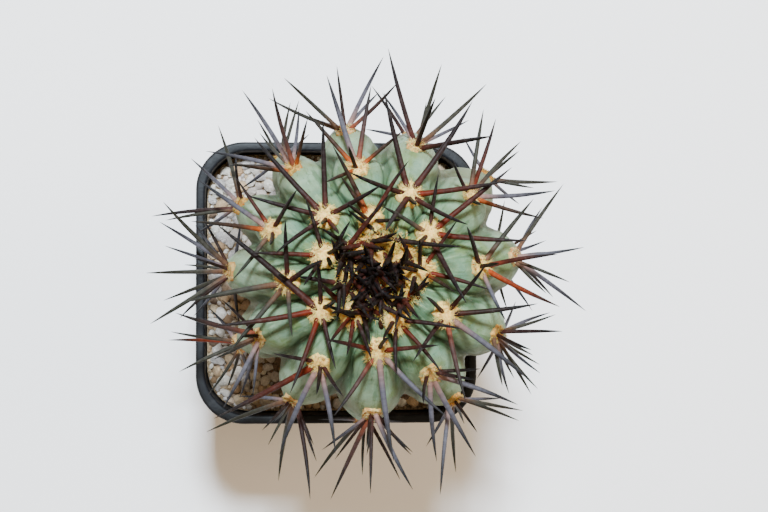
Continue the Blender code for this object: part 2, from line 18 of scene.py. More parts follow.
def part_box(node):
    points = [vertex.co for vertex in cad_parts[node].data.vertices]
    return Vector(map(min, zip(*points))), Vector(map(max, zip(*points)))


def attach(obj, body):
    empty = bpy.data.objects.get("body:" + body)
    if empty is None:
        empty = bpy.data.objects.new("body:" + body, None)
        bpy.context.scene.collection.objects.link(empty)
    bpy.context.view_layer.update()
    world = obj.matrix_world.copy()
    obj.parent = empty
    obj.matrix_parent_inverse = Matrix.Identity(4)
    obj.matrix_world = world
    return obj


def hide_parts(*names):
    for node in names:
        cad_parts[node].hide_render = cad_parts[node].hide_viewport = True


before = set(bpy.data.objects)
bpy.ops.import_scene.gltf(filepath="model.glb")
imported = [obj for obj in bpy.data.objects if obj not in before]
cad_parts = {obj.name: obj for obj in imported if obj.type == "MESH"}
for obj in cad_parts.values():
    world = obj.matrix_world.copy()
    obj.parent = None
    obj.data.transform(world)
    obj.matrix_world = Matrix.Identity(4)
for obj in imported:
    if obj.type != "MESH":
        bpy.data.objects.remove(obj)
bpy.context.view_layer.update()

# Pot
POT_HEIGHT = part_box("pot")[1].z
POT_WIDTH = 2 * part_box("pot")[1].x
POT_BASE_WIDTH = 0.053
POT_CORNER = 0.012
POT_WALL = 0.0013
POT_FLOOR = 0.0016
LIP_WIDTH = 0.0022
LIP_HEIGHT = 0.0090
LIP_STEP = 0.0010
EDGE_ROUNDING = 0.0006
EDGE_STEPS = 4
CORNER_STEPS = 20
DRAIN_RADIUS = 0.0028
DRAIN_OFFSET = 0.0155
DRAIN_SIDES = 40
WALL_RINGS = 6
INNER_RINGS = 4
LIP_EASE = 0.15
POT_SHARP_ANGLE = 50

# Soil and grit; sizes of the stones' parts are shares of their radius
SOIL_BELOW_RIM = 0.0078
SOIL_GAP = 0.0003
SOIL_COLUMNS = 180
SOIL_RINGS = 20
SOIL_WAVE = 0.0008
SOIL_WAVES_PER_METRE = 260
SOIL_SINK = 0.3
COLLAR_DIP = 0.0004
HALVINGS = 40
STONE_COUNT = 2900
STONE_RADIUS = (0.00048, 0.0020)
STONE_RARITY = 3.2
STONE_TRIES = 60
STONE_SPACING = 0.70
STONE_CLEARANCE = 0.0004
STONE_FLATS = 9
STONE_CUT = (0.62, 0.86)
STONE_STRETCH = ((0.85, 1.12), (0.75, 1.0), (0.55, 0.85))
STONE_TILT = 0.5
STONE_LIFT = (0.10, 0.35)
STONE_SHADE = (0.95, 1.15)
STONE_SHARP_ANGLE = 28
PALE_SHARE = 0.55
PALE_PER_METRE = (-3.5, 8.0)
PALE_LIMITS = (0.32, 0.72)

# Stem
PLANT_X = 0.0069
PLANT_Y = 0.0023
EQUATOR_HEIGHT = 0.0910
FURROW_RADIUS = 0.0310
RIB_HEIGHT = 0.0046
CROWN_RISE = 0.0285
BELLY_DROP = 0.0330
NECK_RADIUS = 0.0145
NECK_DEPTH = 0.0210
NECK_TIP_RADIUS = 0.0085
NECK_COLLAR = (0.0016, 0.0014)
NECK_WAIST = (0.94, 0.45)
NECK_TIP_LENGTH = 0.0025
NECK_END_SHARE = 0.70
RELIEF_FADE = (122, 146)
NOTCH_SHARE = 0.28
RIB_BOWS = (2.5, 1.4)
FURROW_DEEPENING = 0.30
SHARPENING = (35, 70)
CHIN_SHIFT = 0.12
STEM_COLUMNS = 540
STEM_ROWS = 160
ROW_ANGLES = (0.6, 148)
RIB_REACH = 40
CROWN_RELIEF = 0.12
DIP_POWER = 1.8
SEAM_PLACE = 0.52
SEAM_ARCH = 0.55
SEAM_WIDTH = 0.085
SEAM_REACH = 0.9
SEAM_DEPTH = 0.00008
SEAM_FADE = (100, 125)
SEAM_STRENGTH = (0.55, 0.45)
SEAM_BREAK_SIZE = 0.0040
CREASE_WIDTH = 0.10
CREASE_DEPTH = 0.00060
CREASE_FADE = (105, 135)
LUMP_SIZES_AND_DEPTHS = ((0.0065, 0.00022), (0.0016, 0.00006))
CROWN_SMOOTHING = (2, 12)
NOISE_STEPS = (7.3, 3.1, 5.7)

# Ribs: compass angle and angle from the crown of each areole that shows from above
RIBS = {
    "A": ((5, 16), (4, 42), (7, 65)),
    "B": ((40, 25), (40, 52)),
    "C": ((70, 34), (73, 60)),
    "D": ((101, 22), (102, 45), (102, 72)),
    "E": ((134, 32), (129, 61)),
    "F": ((162, 24), (158, 49), (153, 79)),
    "G": ((185, 38), (179, 71)),
    "H": ((211, 28), (208, 61)),
    "I": ((235, 19), (236, 45), (237, 78)),
    "J": ((268, 31), (268, 64)),
    "K": ((288, 19), (297, 47), (302, 75)),
    "L": ((328, 31), (333, 60)),
}
AREOLE_STEP = 11.6
AREOLE_GROWTH = 4.35
YOUNGEST_AGE = 0.6
LOWEST_AREOLE = 119

# Areoles and their wool; the profile gives shares of the pad's reach and rise, and its
# foot lies under the skin
PAD_FOOT = -1.0
PAD_LENGTH = 0.0035
PAD_WIDTH = 0.0030
PAD_RISE = 0.0009
PAD_SINK = 0.0012
PAD_YOUNG_SHARE = 0.62
PAD_OLD_SHARE = 0.74
PAD_SHRINK = (30, 62)
PAD_SAG = 0.40
PAD_SIDES = 28
PAD_PROFILE = (
    (0.98, PAD_FOOT), (0.94, -0.2), (0.84, 0.35), (0.66, 0.62), (0.43, 0.78), (0.20, 0.84),
)
PAD_PEAK = 0.86
PAD_EDGE_WAVE = 0.26
PAD_EDGE_WAVES = 3.1
PAD_LUMP = 0.25
PAD_LUMPS_PER_METRE = 900
PAD_VARIETY = 31
STAINS_PER_METRE = 1500
STAIN_GAIN = 2.2
STAIN_START = 0.12
STAIN_LIMIT = 0.75
SOILED_SHARE = 0.25
WOOL_OPENS = (0.75, 1.15)
WOOL_AGES = (1.7, 3.0)
WOOL_JITTER = 0.35
EDGE_FIBRES = 220
TOP_FIBRES = 160
TUFTS = 15
TUFT_JITTER = 0.4
TUFT_REACH = (0.95, 1.35)
TUFT_SPREAD = 0.22
TUFT_PULL = 0.45
TUFT_FRAY = 0.05
EDGE_FOOT = (0.55, 0.92)
EDGE_FOOT_RISE = 0.40
EDGE_TIP = (0.78, 1.06)
EDGE_TIP_RISE = (0.0, 0.7)
TOP_FOOT = (0.15, 0.72)
TOP_FOOT_RISE = 0.72
TOP_LEAN = (0.5, 1.6)
TOP_LENGTH = (0.0005, 0.0010)
FIBRE_SIDES = 3
FIBRE_PROFILE = ((0.50, 0.80),)
FIBRE_ROOT = 0.0002
FIBRE_BEND = 0.04
FIBRE_SWAY = 0.25
FIBRE_RADIUS = 0.00006
FIBRE_GIRTH = (0.8, 1.4)
FIBRE_SHADE = (0.94, 1.10)
FIBRE_SCATTER = 0.09
FIBRE_STAIN = 0.55
STAINED_SHARE = 0.35

# The mat of wool on the crown; edges are shares of the crown's angle
CROWN_ANGLE = 17
CROWN_FIBRES = 3400
CROWN_FIBRE_REACH = (0.85, 1.1)
CROWN_FIBRE_LIFT = (0.0, 0.0005)
CROWN_FIBRE_UP = (0.3, 1.2)
CROWN_FIBRE_OUT = (0.2, 1.2)
CROWN_FIBRE_SCATTER = 0.45
CROWN_FIBRE_LENGTH = (0.0008, 0.0018)
CROWN_FIBRE_GIRTH = 1.2
CROWN_FIBRE_SHADE = (0.90, 1.08)
CROWN_FIBRE_SWAY = 0.3
CROWN_FIBRE_ROOT = 0.0003
MAT_ROWS = 14
MAT_COLUMNS = 72
MAT_START = 0.8
MAT_END = 1.12
MAT_LEVELLING = (0.4, 0.9)
MAT_EDGE = (0.82, 1.04)
MAT_RISE = 0.0010
MAT_LUMP = 0.0002
MAT_LUMP_SIZE = 0.0014
MAT_EDGE_WAVE = 0.10
MAT_EDGE_WAVE_SIZE = 0.0040
MAT_SINK = 0.0004
MAT_DEPTH = 0.0012

# Rods, which are both spines and fibres; spans are shares of the length
ROD_UPRIGHT = 0.05
ROD_ARCH = 4.43
ROD_STEP = 0.13
MIDDLE_TINT_SPAN = (0.00, 0.30)
TIP_TINT_SPAN = (0.40, 0.78)

# Spines; the profile gives shares of the length and of the root's radius
SPINE_ROOT = 0.0016
SPINE_RING = 0.0022
SPINE_FOOT = 0.3
SPINE_THIN = 0.00030
SPINE_STOUTNESS = 0.022
SPINE_ROUND_SHARE = 0.86
SPINE_OLD_SHARE = 0.80
SPINE_SLIMMING = (40, 65)
SPINE_BEND = 0.035
SPINE_SWAY = 0.09
SPINE_SIDES = 10
SPINE_PROFILE = (
    (0.0, 1.16), (0.035, 1.14), (0.09, 1.02), (0.18, 0.98), (0.30, 0.96), (0.42, 0.92),
    (0.54, 0.86), (0.65, 0.76), (0.75, 0.62), (0.84, 0.45), (0.92, 0.26), (0.97, 0.12),
)
RADIAL_LEAN = 62
CENTRAL_LEAN = 18
SIDE_ANGLE = 55
SIDE_LEANS = (62, 16, -26)
SHORTEST_SPINE = 0.0110
LONGEST_SPINE = 0.0245
STEEPEST_RISE = 84
STEEPEST_FALL = 38
POT_CLEARANCE = 0.0012
LIFT_CHECKS = 12
LIFT_STEP = 3

# Spines that stand out from above, by rib and areole: heading in plan, reach in mm
SEEN_SPINES = {
    "A1": ((56, 11), (-16, 13), (-35, 7), (100, 6), (170, 5)),
    "A2": ((52, 17), (119, 9), (9, 16), (-26, 18), (-67, 11), (15, 3)),
    "A3": ((53, 19), (8, 15), (-24, 12), (-34, 20), (-52, 9)),
    "B1": ((82, 11), (39, 21), (-4, 19), (153, 11), (-66, 15), (220, 4)),
    "B2": ((122, 8), (80, 18), (70, 17), (46, 16), (5, 18), (-16, 15), (-65, 2)),
    "B3": ((1, 18), (-14, 9), (42, 8)),
    "C1": ((104, 21), (56, 23), (162, 13), (8, 19), (-30, 12), (231, 10), (-75, 2)),
    "C2": ((103, 22), (74, 18), (75, 10), (42, 21), (5, 14)),
    "C3": ((119, 15), (52, 13)),
    "D1": ((118, 16), (58, 13), (126, 10), (150, 6), (0, 5)),
    "D2": ((80, 17), (40, 11), (131, 15), (205, 7), (118, 5), (107, 20)),
    "D3": ((63, 19), (98, 14), (140, 17), (155, 17), (44, 14)),
    "E1": ((132, 21), (92, 19), (165, 16), (30, 12), (216, 12), (-60, 4), (225, 2)),
    "E2": ((121, 20), (107, 17), (77, 10), (167, 18), (176, 13)),
    "E3": ((81, 14), (74, 14), (120, 10)),
    "F1": ((109, 11), (178, 14), (232, 7), (40, 4)),
    "F2": ((124, 12), (59, 9), (173, 16), (145, 18), (231, 12), (252, 3)),
    "F3": ((106, 18), (186, 19), (99, 9), (136, 15), (190, 16)),
    "G1": ((93, 12), (191, 21), (230, 18), (274, 10), (34, 8), (150, 3)),
    "G2": ((118, 12), (135, 20), (162, 8), (181, 18), (212, 20), (221, 14)),
    "G3": ((148, 21), (161, 17), (173, 11), (201, 18)),
    "H1": ((140, 27), (188, 21), (249, 17), (283, 11), (97, 10), (45, 3)),
    "H2": ((134, 10), (178, 4), (241, 16), (264, 11), (203, 18), (163, 18)),
    "H3": ((180, 16), (172, 15), (236, 13), (252, 10)),
    "I1": ((228, 8), (256, 8), (288, 9), (180, 5)),
    "I2": ((167, 9), (258, 6), (208, 24), (247, 20), (280, 18), (303, 7)),
    "I3": ((261, 19), (278, 21), (289, 13), (204, 20), (241, 11), (223, 9)),
    "J1": ((166, 11), (8, 11), (-44, 18), (235, 15), (-82, 22), (66, 3)),
    "J2": ((248, 21), (268, 17), (295, 17), (235, 12), (310, 11), (256, 7)),
    "J3": ((235, 18), (298, 16), (266, 12)),
    "K1": ((-50, 13), (-91, 10), (-8, 12), (230, 5)),
    "K2": ((-8, 8), (6, 9), (-20, 19), (-84, 18), (-60, 20), (253, 6)),
    "K3": ((-12, 16), (-20, 14), (-57, 8), (-82, 17), (-99, 20)),
    "L1": ((7, 18), (-38, 21), (-78, 17), (230, 11), (143, 6), (55, 12)),
    "L2": ((16, 13), (2, 13), (-26, 7), (-56, 15), (-41, 12), (-92, 10)),
    "L3": ((-60, 10), (-30, 12), (-50, 14)),
}

# The rule for every other areole: clock angle from straight down the rib, length in mm
RULED_RADIALS = ((0, 19), (42, 18), (-44, 18), (92, 14), (-90, 15), (165, 10))
RULED_CENTRAL = 19
CLOCK_JITTER = 9
LENGTH_JITTER = 0.14
LEAN_JITTER = 6
RULED_SPIN = 14
CENTRAL_SPIN = 30
SKIRT_RADIALS = ((-38, 15), (0, 14), (38, 15))
SKIRT_LEAN = 78

# Spines of the crown: foot right of and above its middle, heading in plan, reach in mm
CROWN_SPINES = (
    (-8.4, 4.1, 53, 16), (-6.9, 5.9, 150, 7.5), (-10.6, 3.0, 64, 9.5), (0.7, 7.8, 145, 10.5),
    (-9.0, 1.3, 109, 7), (1.8, 7.4, -7, 15), (6.8, 1.8, 120, 8), (3.9, 3.1, -26, 6.3),
    (5.0, -6.9, 55, 9), (1.3, 2.6, 78, 5), (-2.1, 2.6, 125, 4.5), (7.6, -4.7, 114, 4),
    (3.5, -4.1, -54, 7), (-0.8, -6.3, -27, 8), (2.9, -5.0, -59, 5.6), (-4.7, -8.0, 174, 4),
    (-8.8, -0.8, 265, 9.6), (-6.9, -3.4, -56, 7), (-9.9, -1.7, 171, 8.5), (-10.6, 1.8, 125, 2.5),
    (-8.0, -2.1, 204, 4), (0.5, -4.1, 221, 5), (-4.3, -7.3, -79, 8), (-5.6, 2.4, 25, 3),
    (-3.0, 1.0, 30, 3), (-1.4, -1.3, 200, 3), (3.4, 0.6, 100, 2), (0.9, 1.6, 305, 3),
    (-5.0, 0.0, 20, 4), (5.0, -1.0, 160, 4), (2.0, 4.0, 230, 3), (-3.0, -4.0, 80, 4),
)
CROWN_LENGTH = 0.0100
CROWN_GIRTH = 0.0150
CROWN_STRETCH = 1.12
FILLERS = 78
FILLER_MIDDLE = (-0.0018, -0.0011)
FILLER_SPREAD = 0.0092
FILLER_TURN = 0.618
FILLER_JITTER = 0.5
FILLER_HEADINGS = 60
FILLER_LEAN = (22, 66)
FILLER_LENGTH = (0.0075, 0.0120)
FILLER_GIRTH = 0.0165
FILLER_SWAY = 0.12
SEED = 21

# Spine colours at the root, in the middle and at the tip, as sRGB numbers
TINTS = {
    "k": ((52, 22, 13), (30, 18, 13), (17, 14, 14)),
    "p": ((62, 28, 20), (33, 19, 17), (19, 15, 16)),
    "r": ((94, 29, 9), (56, 23, 15), (24, 17, 16)),
    "f": ((138, 54, 18), (104, 38, 16), (40, 21, 15)),
    "o": ((142, 64, 18), (48, 30, 20), (29, 24, 18)),
    "w": ((118, 60, 40), (60, 40, 36), (30, 26, 25)),
    "l": ((130, 98, 88), (74, 71, 78), (32, 31, 34)),
    "g": ((92, 62, 44), (48, 46, 39), (33, 32, 25)),
}
SPINE_LOOKS = {
    "A1": "rropk", "A2": "gkrflk", "A3": "glglg",
    "B1": "krrgpk", "B2": "pgrglok", "B3": "ggg",
    "C1": "ppkrppk", "C2": "pgkgp", "C3": "pg",
    "D1": "oropk", "D2": "woookl", "D3": "lkggw",
    "E1": "ppppprk", "E2": "lwolo", "E3": "ggg",
    "F1": "krpk", "F2": "rkolgk", "F3": "gpklg",
    "G1": "pgggpk", "G2": "kgkggk", "G3": "llgg",
    "H1": "prrppk", "H2": "kkllgw", "H3": "fggg",
    "I1": "rrpk", "I2": "pkrllp", "I3": "gppggk",
    "J1": "rrlwlk", "J2": "wplkkk", "J3": "gpg",
    "K1": "rppk", "K2": "pklllk", "K3": "ggkgl",
    "L1": "klwppk", "L2": "gpkglg", "L3": "ggg",
}
SKIRT_LOOKS = "lgl"
RULED_LOOKS = "llgglo"
CROWN_LOOKS = "rkkkpkrkpkkkrpkkkkpkkkkkkkkkkkkk"
FILLER_LOOKS = "kkprrr"

# Other colours, as sRGB numbers too
POT_TONES = ((13, 13, 15), (25, 25, 29))
POT_DUST = (84, 84, 86)
SOIL_TONES = ((112, 90, 68), (184, 160, 130))
GRIT_DUST = (232, 222, 208)
# Painted shade in the grit's pits
PIT_SHADE_TONE = (84, 68, 54)
PALE_STONES = ((236, 226, 218), (224, 210, 202), (242, 234, 224), (206, 198, 196))
BROWN_STONES = (
    (214, 182, 148), (190, 154, 120), (228, 202, 170),
    (158, 128, 102), (204, 178, 156), (122, 100, 84),
)
CORK_TONES = ((120, 92, 62), (176, 146, 108))
YOUNG_WOOL = (226, 178, 88)
FRESH_WOOL = (240, 204, 128)
OLD_WOOL = ((204, 174, 128), (200, 168, 114), (206, 164, 92))
CROWN_WOOL = ((222, 176, 92), (242, 214, 146))
FELT_SHADE = (232, 212, 176)
SPECK_TONE = (120, 82, 50)
STAIN_TONE = (158, 100, 56)
RING_SHADE = (150, 146, 152)
RINGS_PER_METRE = 900
BLOOM_TONE = (108, 98, 94)
FLOOR_TONE = (252, 247, 248)

# Skin: two ground greens, and layers over them with their strength and tone. A layer needs
# each of its signals, as it is or where it goes from the first number to the second. The
# signal fall is the angle from the crown in half turns.
SKIN_TONES = ((78, 101, 74), (104, 126, 97))
SKIN_LAYERS = {
    "bluish patches": (0.50, (76, 108, 92), ("bluish", 0.50, 0.66)),
    "pale flecks": (0.35, (138, 152, 124), ("fine", 0.42, 0.68), ("crest", 0.30, 0.95)),
    # Painted light: the skin grows paler from the crown down to the flanks, a painted glow
    "painted glow on the flanks": (0.56, (152, 168, 146), ("fall", 0.17, 0.42)),
    # Painted shade: darker near the crown, where the spines shade the skin
    "painted shade near the crown": (0.42, (62, 88, 66), ("fall", 0.26, 0.10)),
    "olive patches": (0.65, (94, 108, 58), ("olive", 0.53, 0.70)),
    # Painted shade: thin dark lines of fine wrinkles near the pads
    "creases": (0.50, (58, 74, 48), ("near_pad", 0.0085, 0.0035), ("crease", 0.011, 0.002)),
    # Painted shade along the seams, the fine creases across the ribs
    "seams": (0.25, (70, 84, 46), ("seam",)),
    # Painted shade: darker on the ribs' sides as they fall to the furrows
    "painted shade on the rib flanks": (0.25, (56, 72, 44), ("crest", 0.45, 0.05)),
    # Painted shade: dark in the furrows between the ribs
    "painted shade in the furrows": (0.55, (36, 50, 28), ("crest", 0.18, 0.02)),
    "dark streaks": (0.50, (50, 76, 44), ("streak", 0.53, 0.66)),
    "light streaks": (0.45, (130, 150, 118), ("streak", 0.45, 0.33)),
    # Painted shade: brownish dark, in patches, on the sides of the ribs low on the globe
    "painted shade on the low rib flanks": (1.0, (84, 80, 56), ("patchy",), ("fall", 0.24, 0.44),
                     ("crest", 0.86, 0.30)),
    "worn patches": (0.40, (98, 98, 72), ("fall", 0.22, 0.36), ("worn", 0.50, 0.64)),
    # Painted shade: darker on the underside of the globe, away from the light
    "painted shade low down": (0.35, (92, 92, 72), ("fall", 0.42, 0.60)),
    # Partly the skin's olive tint, partly painted shade round the raised pads
    "olive tint and painted shade round the pads": (0.40, (96, 104, 62), ("near_pad", 0.0052, 0.0030)),
}
CORK_SPAN = (0.72, 0.80)
STREAK_SCALES = (5.5, 15.0, 1.6)
SKIN_GLOW = (0.08, 0.002)
WOOL_GLOW = (0.40, 0.0015)

# Camera, and lights with their place, size, watts and colour
CAMERA_AT = Vector((-0.0206, 0.0031, 0.4750))
CAMERA_AIM = Vector((0.0117, 0.0067, 0.0650))
CAMERA_LENS = 50
CAMERA_SENSOR = 23.3
LIGHTS = {
    "window": ((-0.03, 0.30, 0.77), 0.10, 21.0, (0.76, 0.90, 1.0)),
    "side_fill": ((0.62, 0.16, 0.42), 0.40, 2.4, (1.0, 0.84, 0.62)),
}
SURROUND = (1.0, 0.78, 0.50, 1.0)
SURROUND_STRENGTH = 0.60
FLOOR_REACH = 1.5


# Small helpers

def smooth_step(value, low, high):
    """Rise from 0 to 1 as value goes from low to high, with soft ends."""
    share = np.clip((value - low) / (high - low), 0.0, 1.0)
    return share * share * (3 - 2 * share)


def linear(rgb):
    """A colour given in sRGB numbers from 0 to 255, as linear shares."""
    shares = [c / 255 for c in rgb]
    return tuple(c / 12.92 if c <= 0.04045 else ((c + 0.055) / 1.055) ** 2.4 for c in shares)


def add_object(name, data):
    """Put a mesh, a light or a camera in the scene."""
    thing = bpy.data.objects.new(name, data)
    bpy.context.scene.collection.objects.link(thing)
    return thing


def mesh_object(name, points, faces):
    """A smooth-shaded object from points and a list of faces that point out."""
    mesh = bpy.data.meshes.new(name)
    mesh.from_pydata(np.reshape(points, (-1, 3)).tolist(), [], faces)
    mesh.shade_smooth()
    return add_object(name, mesh)


def closed_grid(grid):
    """Points and outward faces of a grid of rings that runs down, closed at both ends."""
    rows, columns = grid.shape[:2]
    index = np.arange(rows * columns).reshape(rows, columns)
    following = np.roll(index, -1, axis=1)
    quads = np.stack((index[:-1], index[1:], following[1:], following[:-1]), -1).reshape(-1, 4)
    top, bottom = rows * columns, rows * columns + 1
    faces = quads.tolist()
    faces += [[top, a, b] for a, b in zip(index[0].tolist(), following[0].tolist())]
    faces += [[bottom, b, a] for a, b in zip(index[-1].tolist(), following[-1].tolist())]
    ends = np.array([grid[0].mean(0), grid[-1].mean(0)])
    return np.concatenate([grid.reshape(-1, 3), ends]), faces


def store(thing, name, values):
    """Store a number, or a linear colour, for each vertex, for the material to read."""
    if np.ndim(values) == 1:
        layer = thing.data.attributes.new(name, "FLOAT", "POINT")
        layer.data.foreach_set("value", np.asarray(values, np.float32))
    else:
        flat = np.ones((len(values), 4), np.float32)
        flat[:, :3] = values
        layer = thing.data.attributes.new(name, "FLOAT_COLOR", "POINT")
        layer.data.foreach_set("color", flat.ravel())


def dress(thing, node, material):
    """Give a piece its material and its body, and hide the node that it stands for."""
    thing.data.materials.clear()
    thing.data.materials.append(material)
    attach(thing, "root")
    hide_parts(node)


# Materials

class Finish:
    """A Principled material that is put together node by node."""

    def __init__(self, name, specular):
        self.material = bpy.data.materials.new(name)
        self.material.use_nodes = True
        self.tree = self.material.node_tree
        self.shader = self.tree.nodes["Principled BSDF"]
        self.give(self.shader, {"Specular IOR Level": specular})
        self.place = self.node("TexCoord", {}).outputs["Object"]

    def give(self, node, inputs):
        """Link a node's inputs to outputs, or set their own values."""
        for name, value in inputs.items():
            socket = node.inputs[name]
            if isinstance(value, bpy.types.NodeSocket):
                self.tree.links.new(value, socket)
            elif isinstance(value, tuple) and socket.type == "RGBA":
                socket.default_value = (*value, 1.0)
            else:
                socket.default_value = value

    def node(self, kind, inputs, **settings):
        """Add a node with these inputs and settings."""
        node = self.tree.nodes.new("ShaderNode" + kind)
        for name, value in settings.items():
            setattr(node, name, value)
        self.give(node, inputs)
        return node

    def noise(self, size, detail=4.0, rough=0.55):
        """Noise whose lumps measure about size metres, as a number near 0.5."""
        return self.node("TexNoise", {"Vector": self.place, "Scale": 1 / size,
                                      "Detail": detail, "Roughness": rough}).outputs["Fac"]

    def stored(self, name, kind="Fac"):
        """A number or colour stored on the mesh."""
        return self.node("Attribute", {}, attribute_name=name).outputs[kind]

    def span(self, value, low, high):
        """Map value's range from low to high onto 0 to 1, with soft ends."""
        return self.node("MapRange", {"Value": value, "From Min": low, "From Max": high},
                         interpolation_type="SMOOTHSTEP").outputs["Result"]

    def calc(self, kind, a, b):
        """Add, multiply or otherwise join two numbers."""
        return self.node("Math", {0: a, 1: b}, operation=kind).outputs[0]

    def ranged(self, value, low, more):
        """A number that is low where value is 0 and low + more where value is 1."""
        return self.calc("ADD", self.calc("MULTIPLY", value, more), low)

    def blend(self, share, a, b, mode="MIX"):
        """Blend colour a towards b by share."""
        return self.node("Mix", {0: share, 6: a, 7: b}, data_type="RGBA",
                         blend_type=mode).outputs[2]

    def between(self, share, tones):
        """A colour between two sRGB tones."""
        return self.blend(share, linear(tones[0]), linear(tones[1]))

    def tint(self, under, share, strength, tone, mode="MIX"):
        """Blend a colour towards an sRGB tone by share times strength."""
        return self.blend(self.calc("MULTIPLY", share, strength), under, linear(tone), mode)

    def bump(self, height, depth, under=None):
        """Normals for a relief of this height signal and depth in metres."""
        inputs = {"Height": height, "Distance": depth}
        if under is not None:
            inputs["Normal"] = under
        return self.node("Bump", inputs).outputs["Normal"]

    def finished(self, colour, relief, roughness, glow=(0.0, 0.0)):
        """The material; glow is how much light enters the surface, and how deep."""
        self.give(self.shader, {"Base Color": colour, "Normal": relief, "Roughness": roughness,
                                "Subsurface Weight": glow[0], "Subsurface Scale": glow[1]})
        return self.material


def pot_finish():
    """Black moulded plastic, a little bluish, with patches of dust."""
    finish = Finish("pot_plastic", 0.18)
    dust = finish.span(finish.noise(0.004, 6.0, 0.65), 0.52, 0.78)
    cloud = finish.noise(0.020, 3.0)
    black = finish.tint(finish.between(cloud, POT_TONES), dust, 0.16, POT_DUST)
    grain = finish.bump(finish.noise(0.0005, 3.0), 0.00006)
    relief = finish.bump(finish.noise(0.009, 2.0), 0.0004, grain)
    return finish.finished(black, relief, finish.ranged(cloud, 0.40, 0.25))


def soil_finish():
    """Brown fines between the stones."""
    finish = Finish("soil_fines", 0.2)
    speck = finish.noise(0.0009, 6.0, 0.7)
    brown = finish.between(finish.span(speck, 0.35, 0.65), SOIL_TONES)
    return finish.finished(brown, finish.bump(speck, 0.0006), 0.95)


def grit_finish():
    """Pumice and lava grit: each stone has its own colour, dusty, with painted shade in its
    pits.
    """
    finish = Finish("grit_stone", 0.25)
    pits = finish.span(finish.noise(0.00045, 5.0, 0.7), 0.38, 0.62)
    shade = finish.tint(finish.stored("paint", "Color"), finish.noise(0.0016), 0.55, GRIT_DUST,
                        "MULTIPLY")
    # Painted shade: darker where the pits' bump relief is low
    pitted = finish.blend(pits, finish.blend(0.22, shade, linear(PIT_SHADE_TONE)), shade)
    return finish.finished(pitted, finish.bump(pits, 0.00022), 0.9)


def stem_finish():
    """Waxy grey-green skin, corky at the neck, with painted shade in its furrows, creases and
    lower parts and a painted glow on its flanks.
    """
    finish = Finish("stem_skin", 0.04)
    cloud = finish.noise(0.0075, 4.0, 0.6)
    fine = finish.noise(0.0014, 5.0, 0.65)
    fall = finish.stored("fall")
    winding = finish.calc("SUBTRACT", finish.noise(0.0038, 2.0, 0.5), 0.5)
    drawn_out = zip((finish.stored("lane"), fall, cloud), STREAK_SCALES)
    lines = finish.node("CombineXYZ", {k: finish.calc("MULTIPLY", signal, scale)
                                       for k, (signal, scale) in enumerate(drawn_out)})
    signals = {
        "fine": fine,
        "fall": fall,
        "crest": finish.stored("crest"),
        "seam": finish.stored("seam"),
        "near_pad": finish.stored("near_pad"),
        "bluish": finish.noise(0.0068, 3.0, 0.5),
        "olive": finish.noise(0.0052, 3.0, 0.5),
        "worn": finish.noise(0.0150, 3.0, 0.6),
        "crease": finish.calc("ABSOLUTE", winding, 0.0),
        "streak": finish.node("TexNoise", {"Vector": lines.outputs[0], "Scale": 1.0,
                                           "Detail": 4.0}).outputs["Fac"],
        # patchy breaks up the painted shade on the low rib flanks
        "patchy": finish.ranged(finish.span(cloud, 0.42, 0.60), 0.12, 0.46),
    }
    green = finish.between(finish.span(cloud, 0.34, 0.66), SKIN_TONES)
    for strength, tone, *needs in SKIN_LAYERS.values():
        share = strength
        for signal, *limits in needs:
            part = finish.span(signals[signal], *limits) if limits else signals[signal]
            share = finish.calc("MULTIPLY", part, share)
        green = finish.blend(share, green, linear(tone))
    cork = finish.between(finish.noise(0.0022, 5.0, 0.7), CORK_TONES)
    corky = finish.span(finish.calc("ADD", fall, finish.calc("MULTIPLY", cloud, 0.10)),
                        *CORK_SPAN)
    wax = finish.bump(finish.noise(0.00035, 3.0, 0.6), 0.00005)
    return finish.finished(finish.blend(corky, green, cork), finish.bump(fine, 0.00016, wax),
                           finish.ranged(fine, 0.42, 0.30), SKIN_GLOW)


def wool_finish(name, soiling):
    """Matted wool in its stored colours; soiling is how strongly brown specks show."""
    finish = Finish(name, 0.15)
    felt = finish.span(finish.noise(0.0005, 5.0, 0.7), 0.70, 0.36)
    shade = finish.blend(felt, finish.stored("paint", "Color"), linear(FELT_SHADE), "MULTIPLY")
    speck = finish.span(finish.noise(0.0007, 2.0, 0.5), 0.66, 0.73)
    relief = finish.bump(finish.noise(0.00022, 4.0, 0.7), 0.00012)
    return finish.finished(finish.tint(shade, speck, soiling, SPECK_TONE), relief, 0.95,
                           WOOL_GLOW)


def spine_finish():
    """Horny spines: coloured along their length, faintly ringed and satin."""
    finish = Finish("spine_horn", 0.10)
    rings = finish.node("TexNoise", {"W": finish.stored("along"), "Scale": RINGS_PER_METRE,
                                     "Detail": 3.0}, noise_dimensions="1D").outputs["Fac"]
    cloud = finish.noise(0.0011, 4.0, 0.65)
    shade = finish.tint(finish.stored("paint", "Color"), finish.span(rings, 0.36, 0.64), 0.35,
                        RING_SHADE, "MULTIPLY")
    horn = finish.tint(shade, finish.span(cloud, 0.50, 0.70), 0.12, BLOOM_TONE)
    grain = finish.bump(finish.noise(0.0004, 3.0), 0.00004)
    return finish.finished(horn, finish.bump(rings, 0.00010, grain),
                           finish.ranged(cloud, 0.40, 0.30))


def floor_finish():
    """Plain pale cloth under the pot."""
    finish = Finish("pale_floor", 0.2)
    finish.give(finish.shader, {"Base Color": linear(FLOOR_TONE), "Roughness": 0.9})
    return finish.material


# Pot

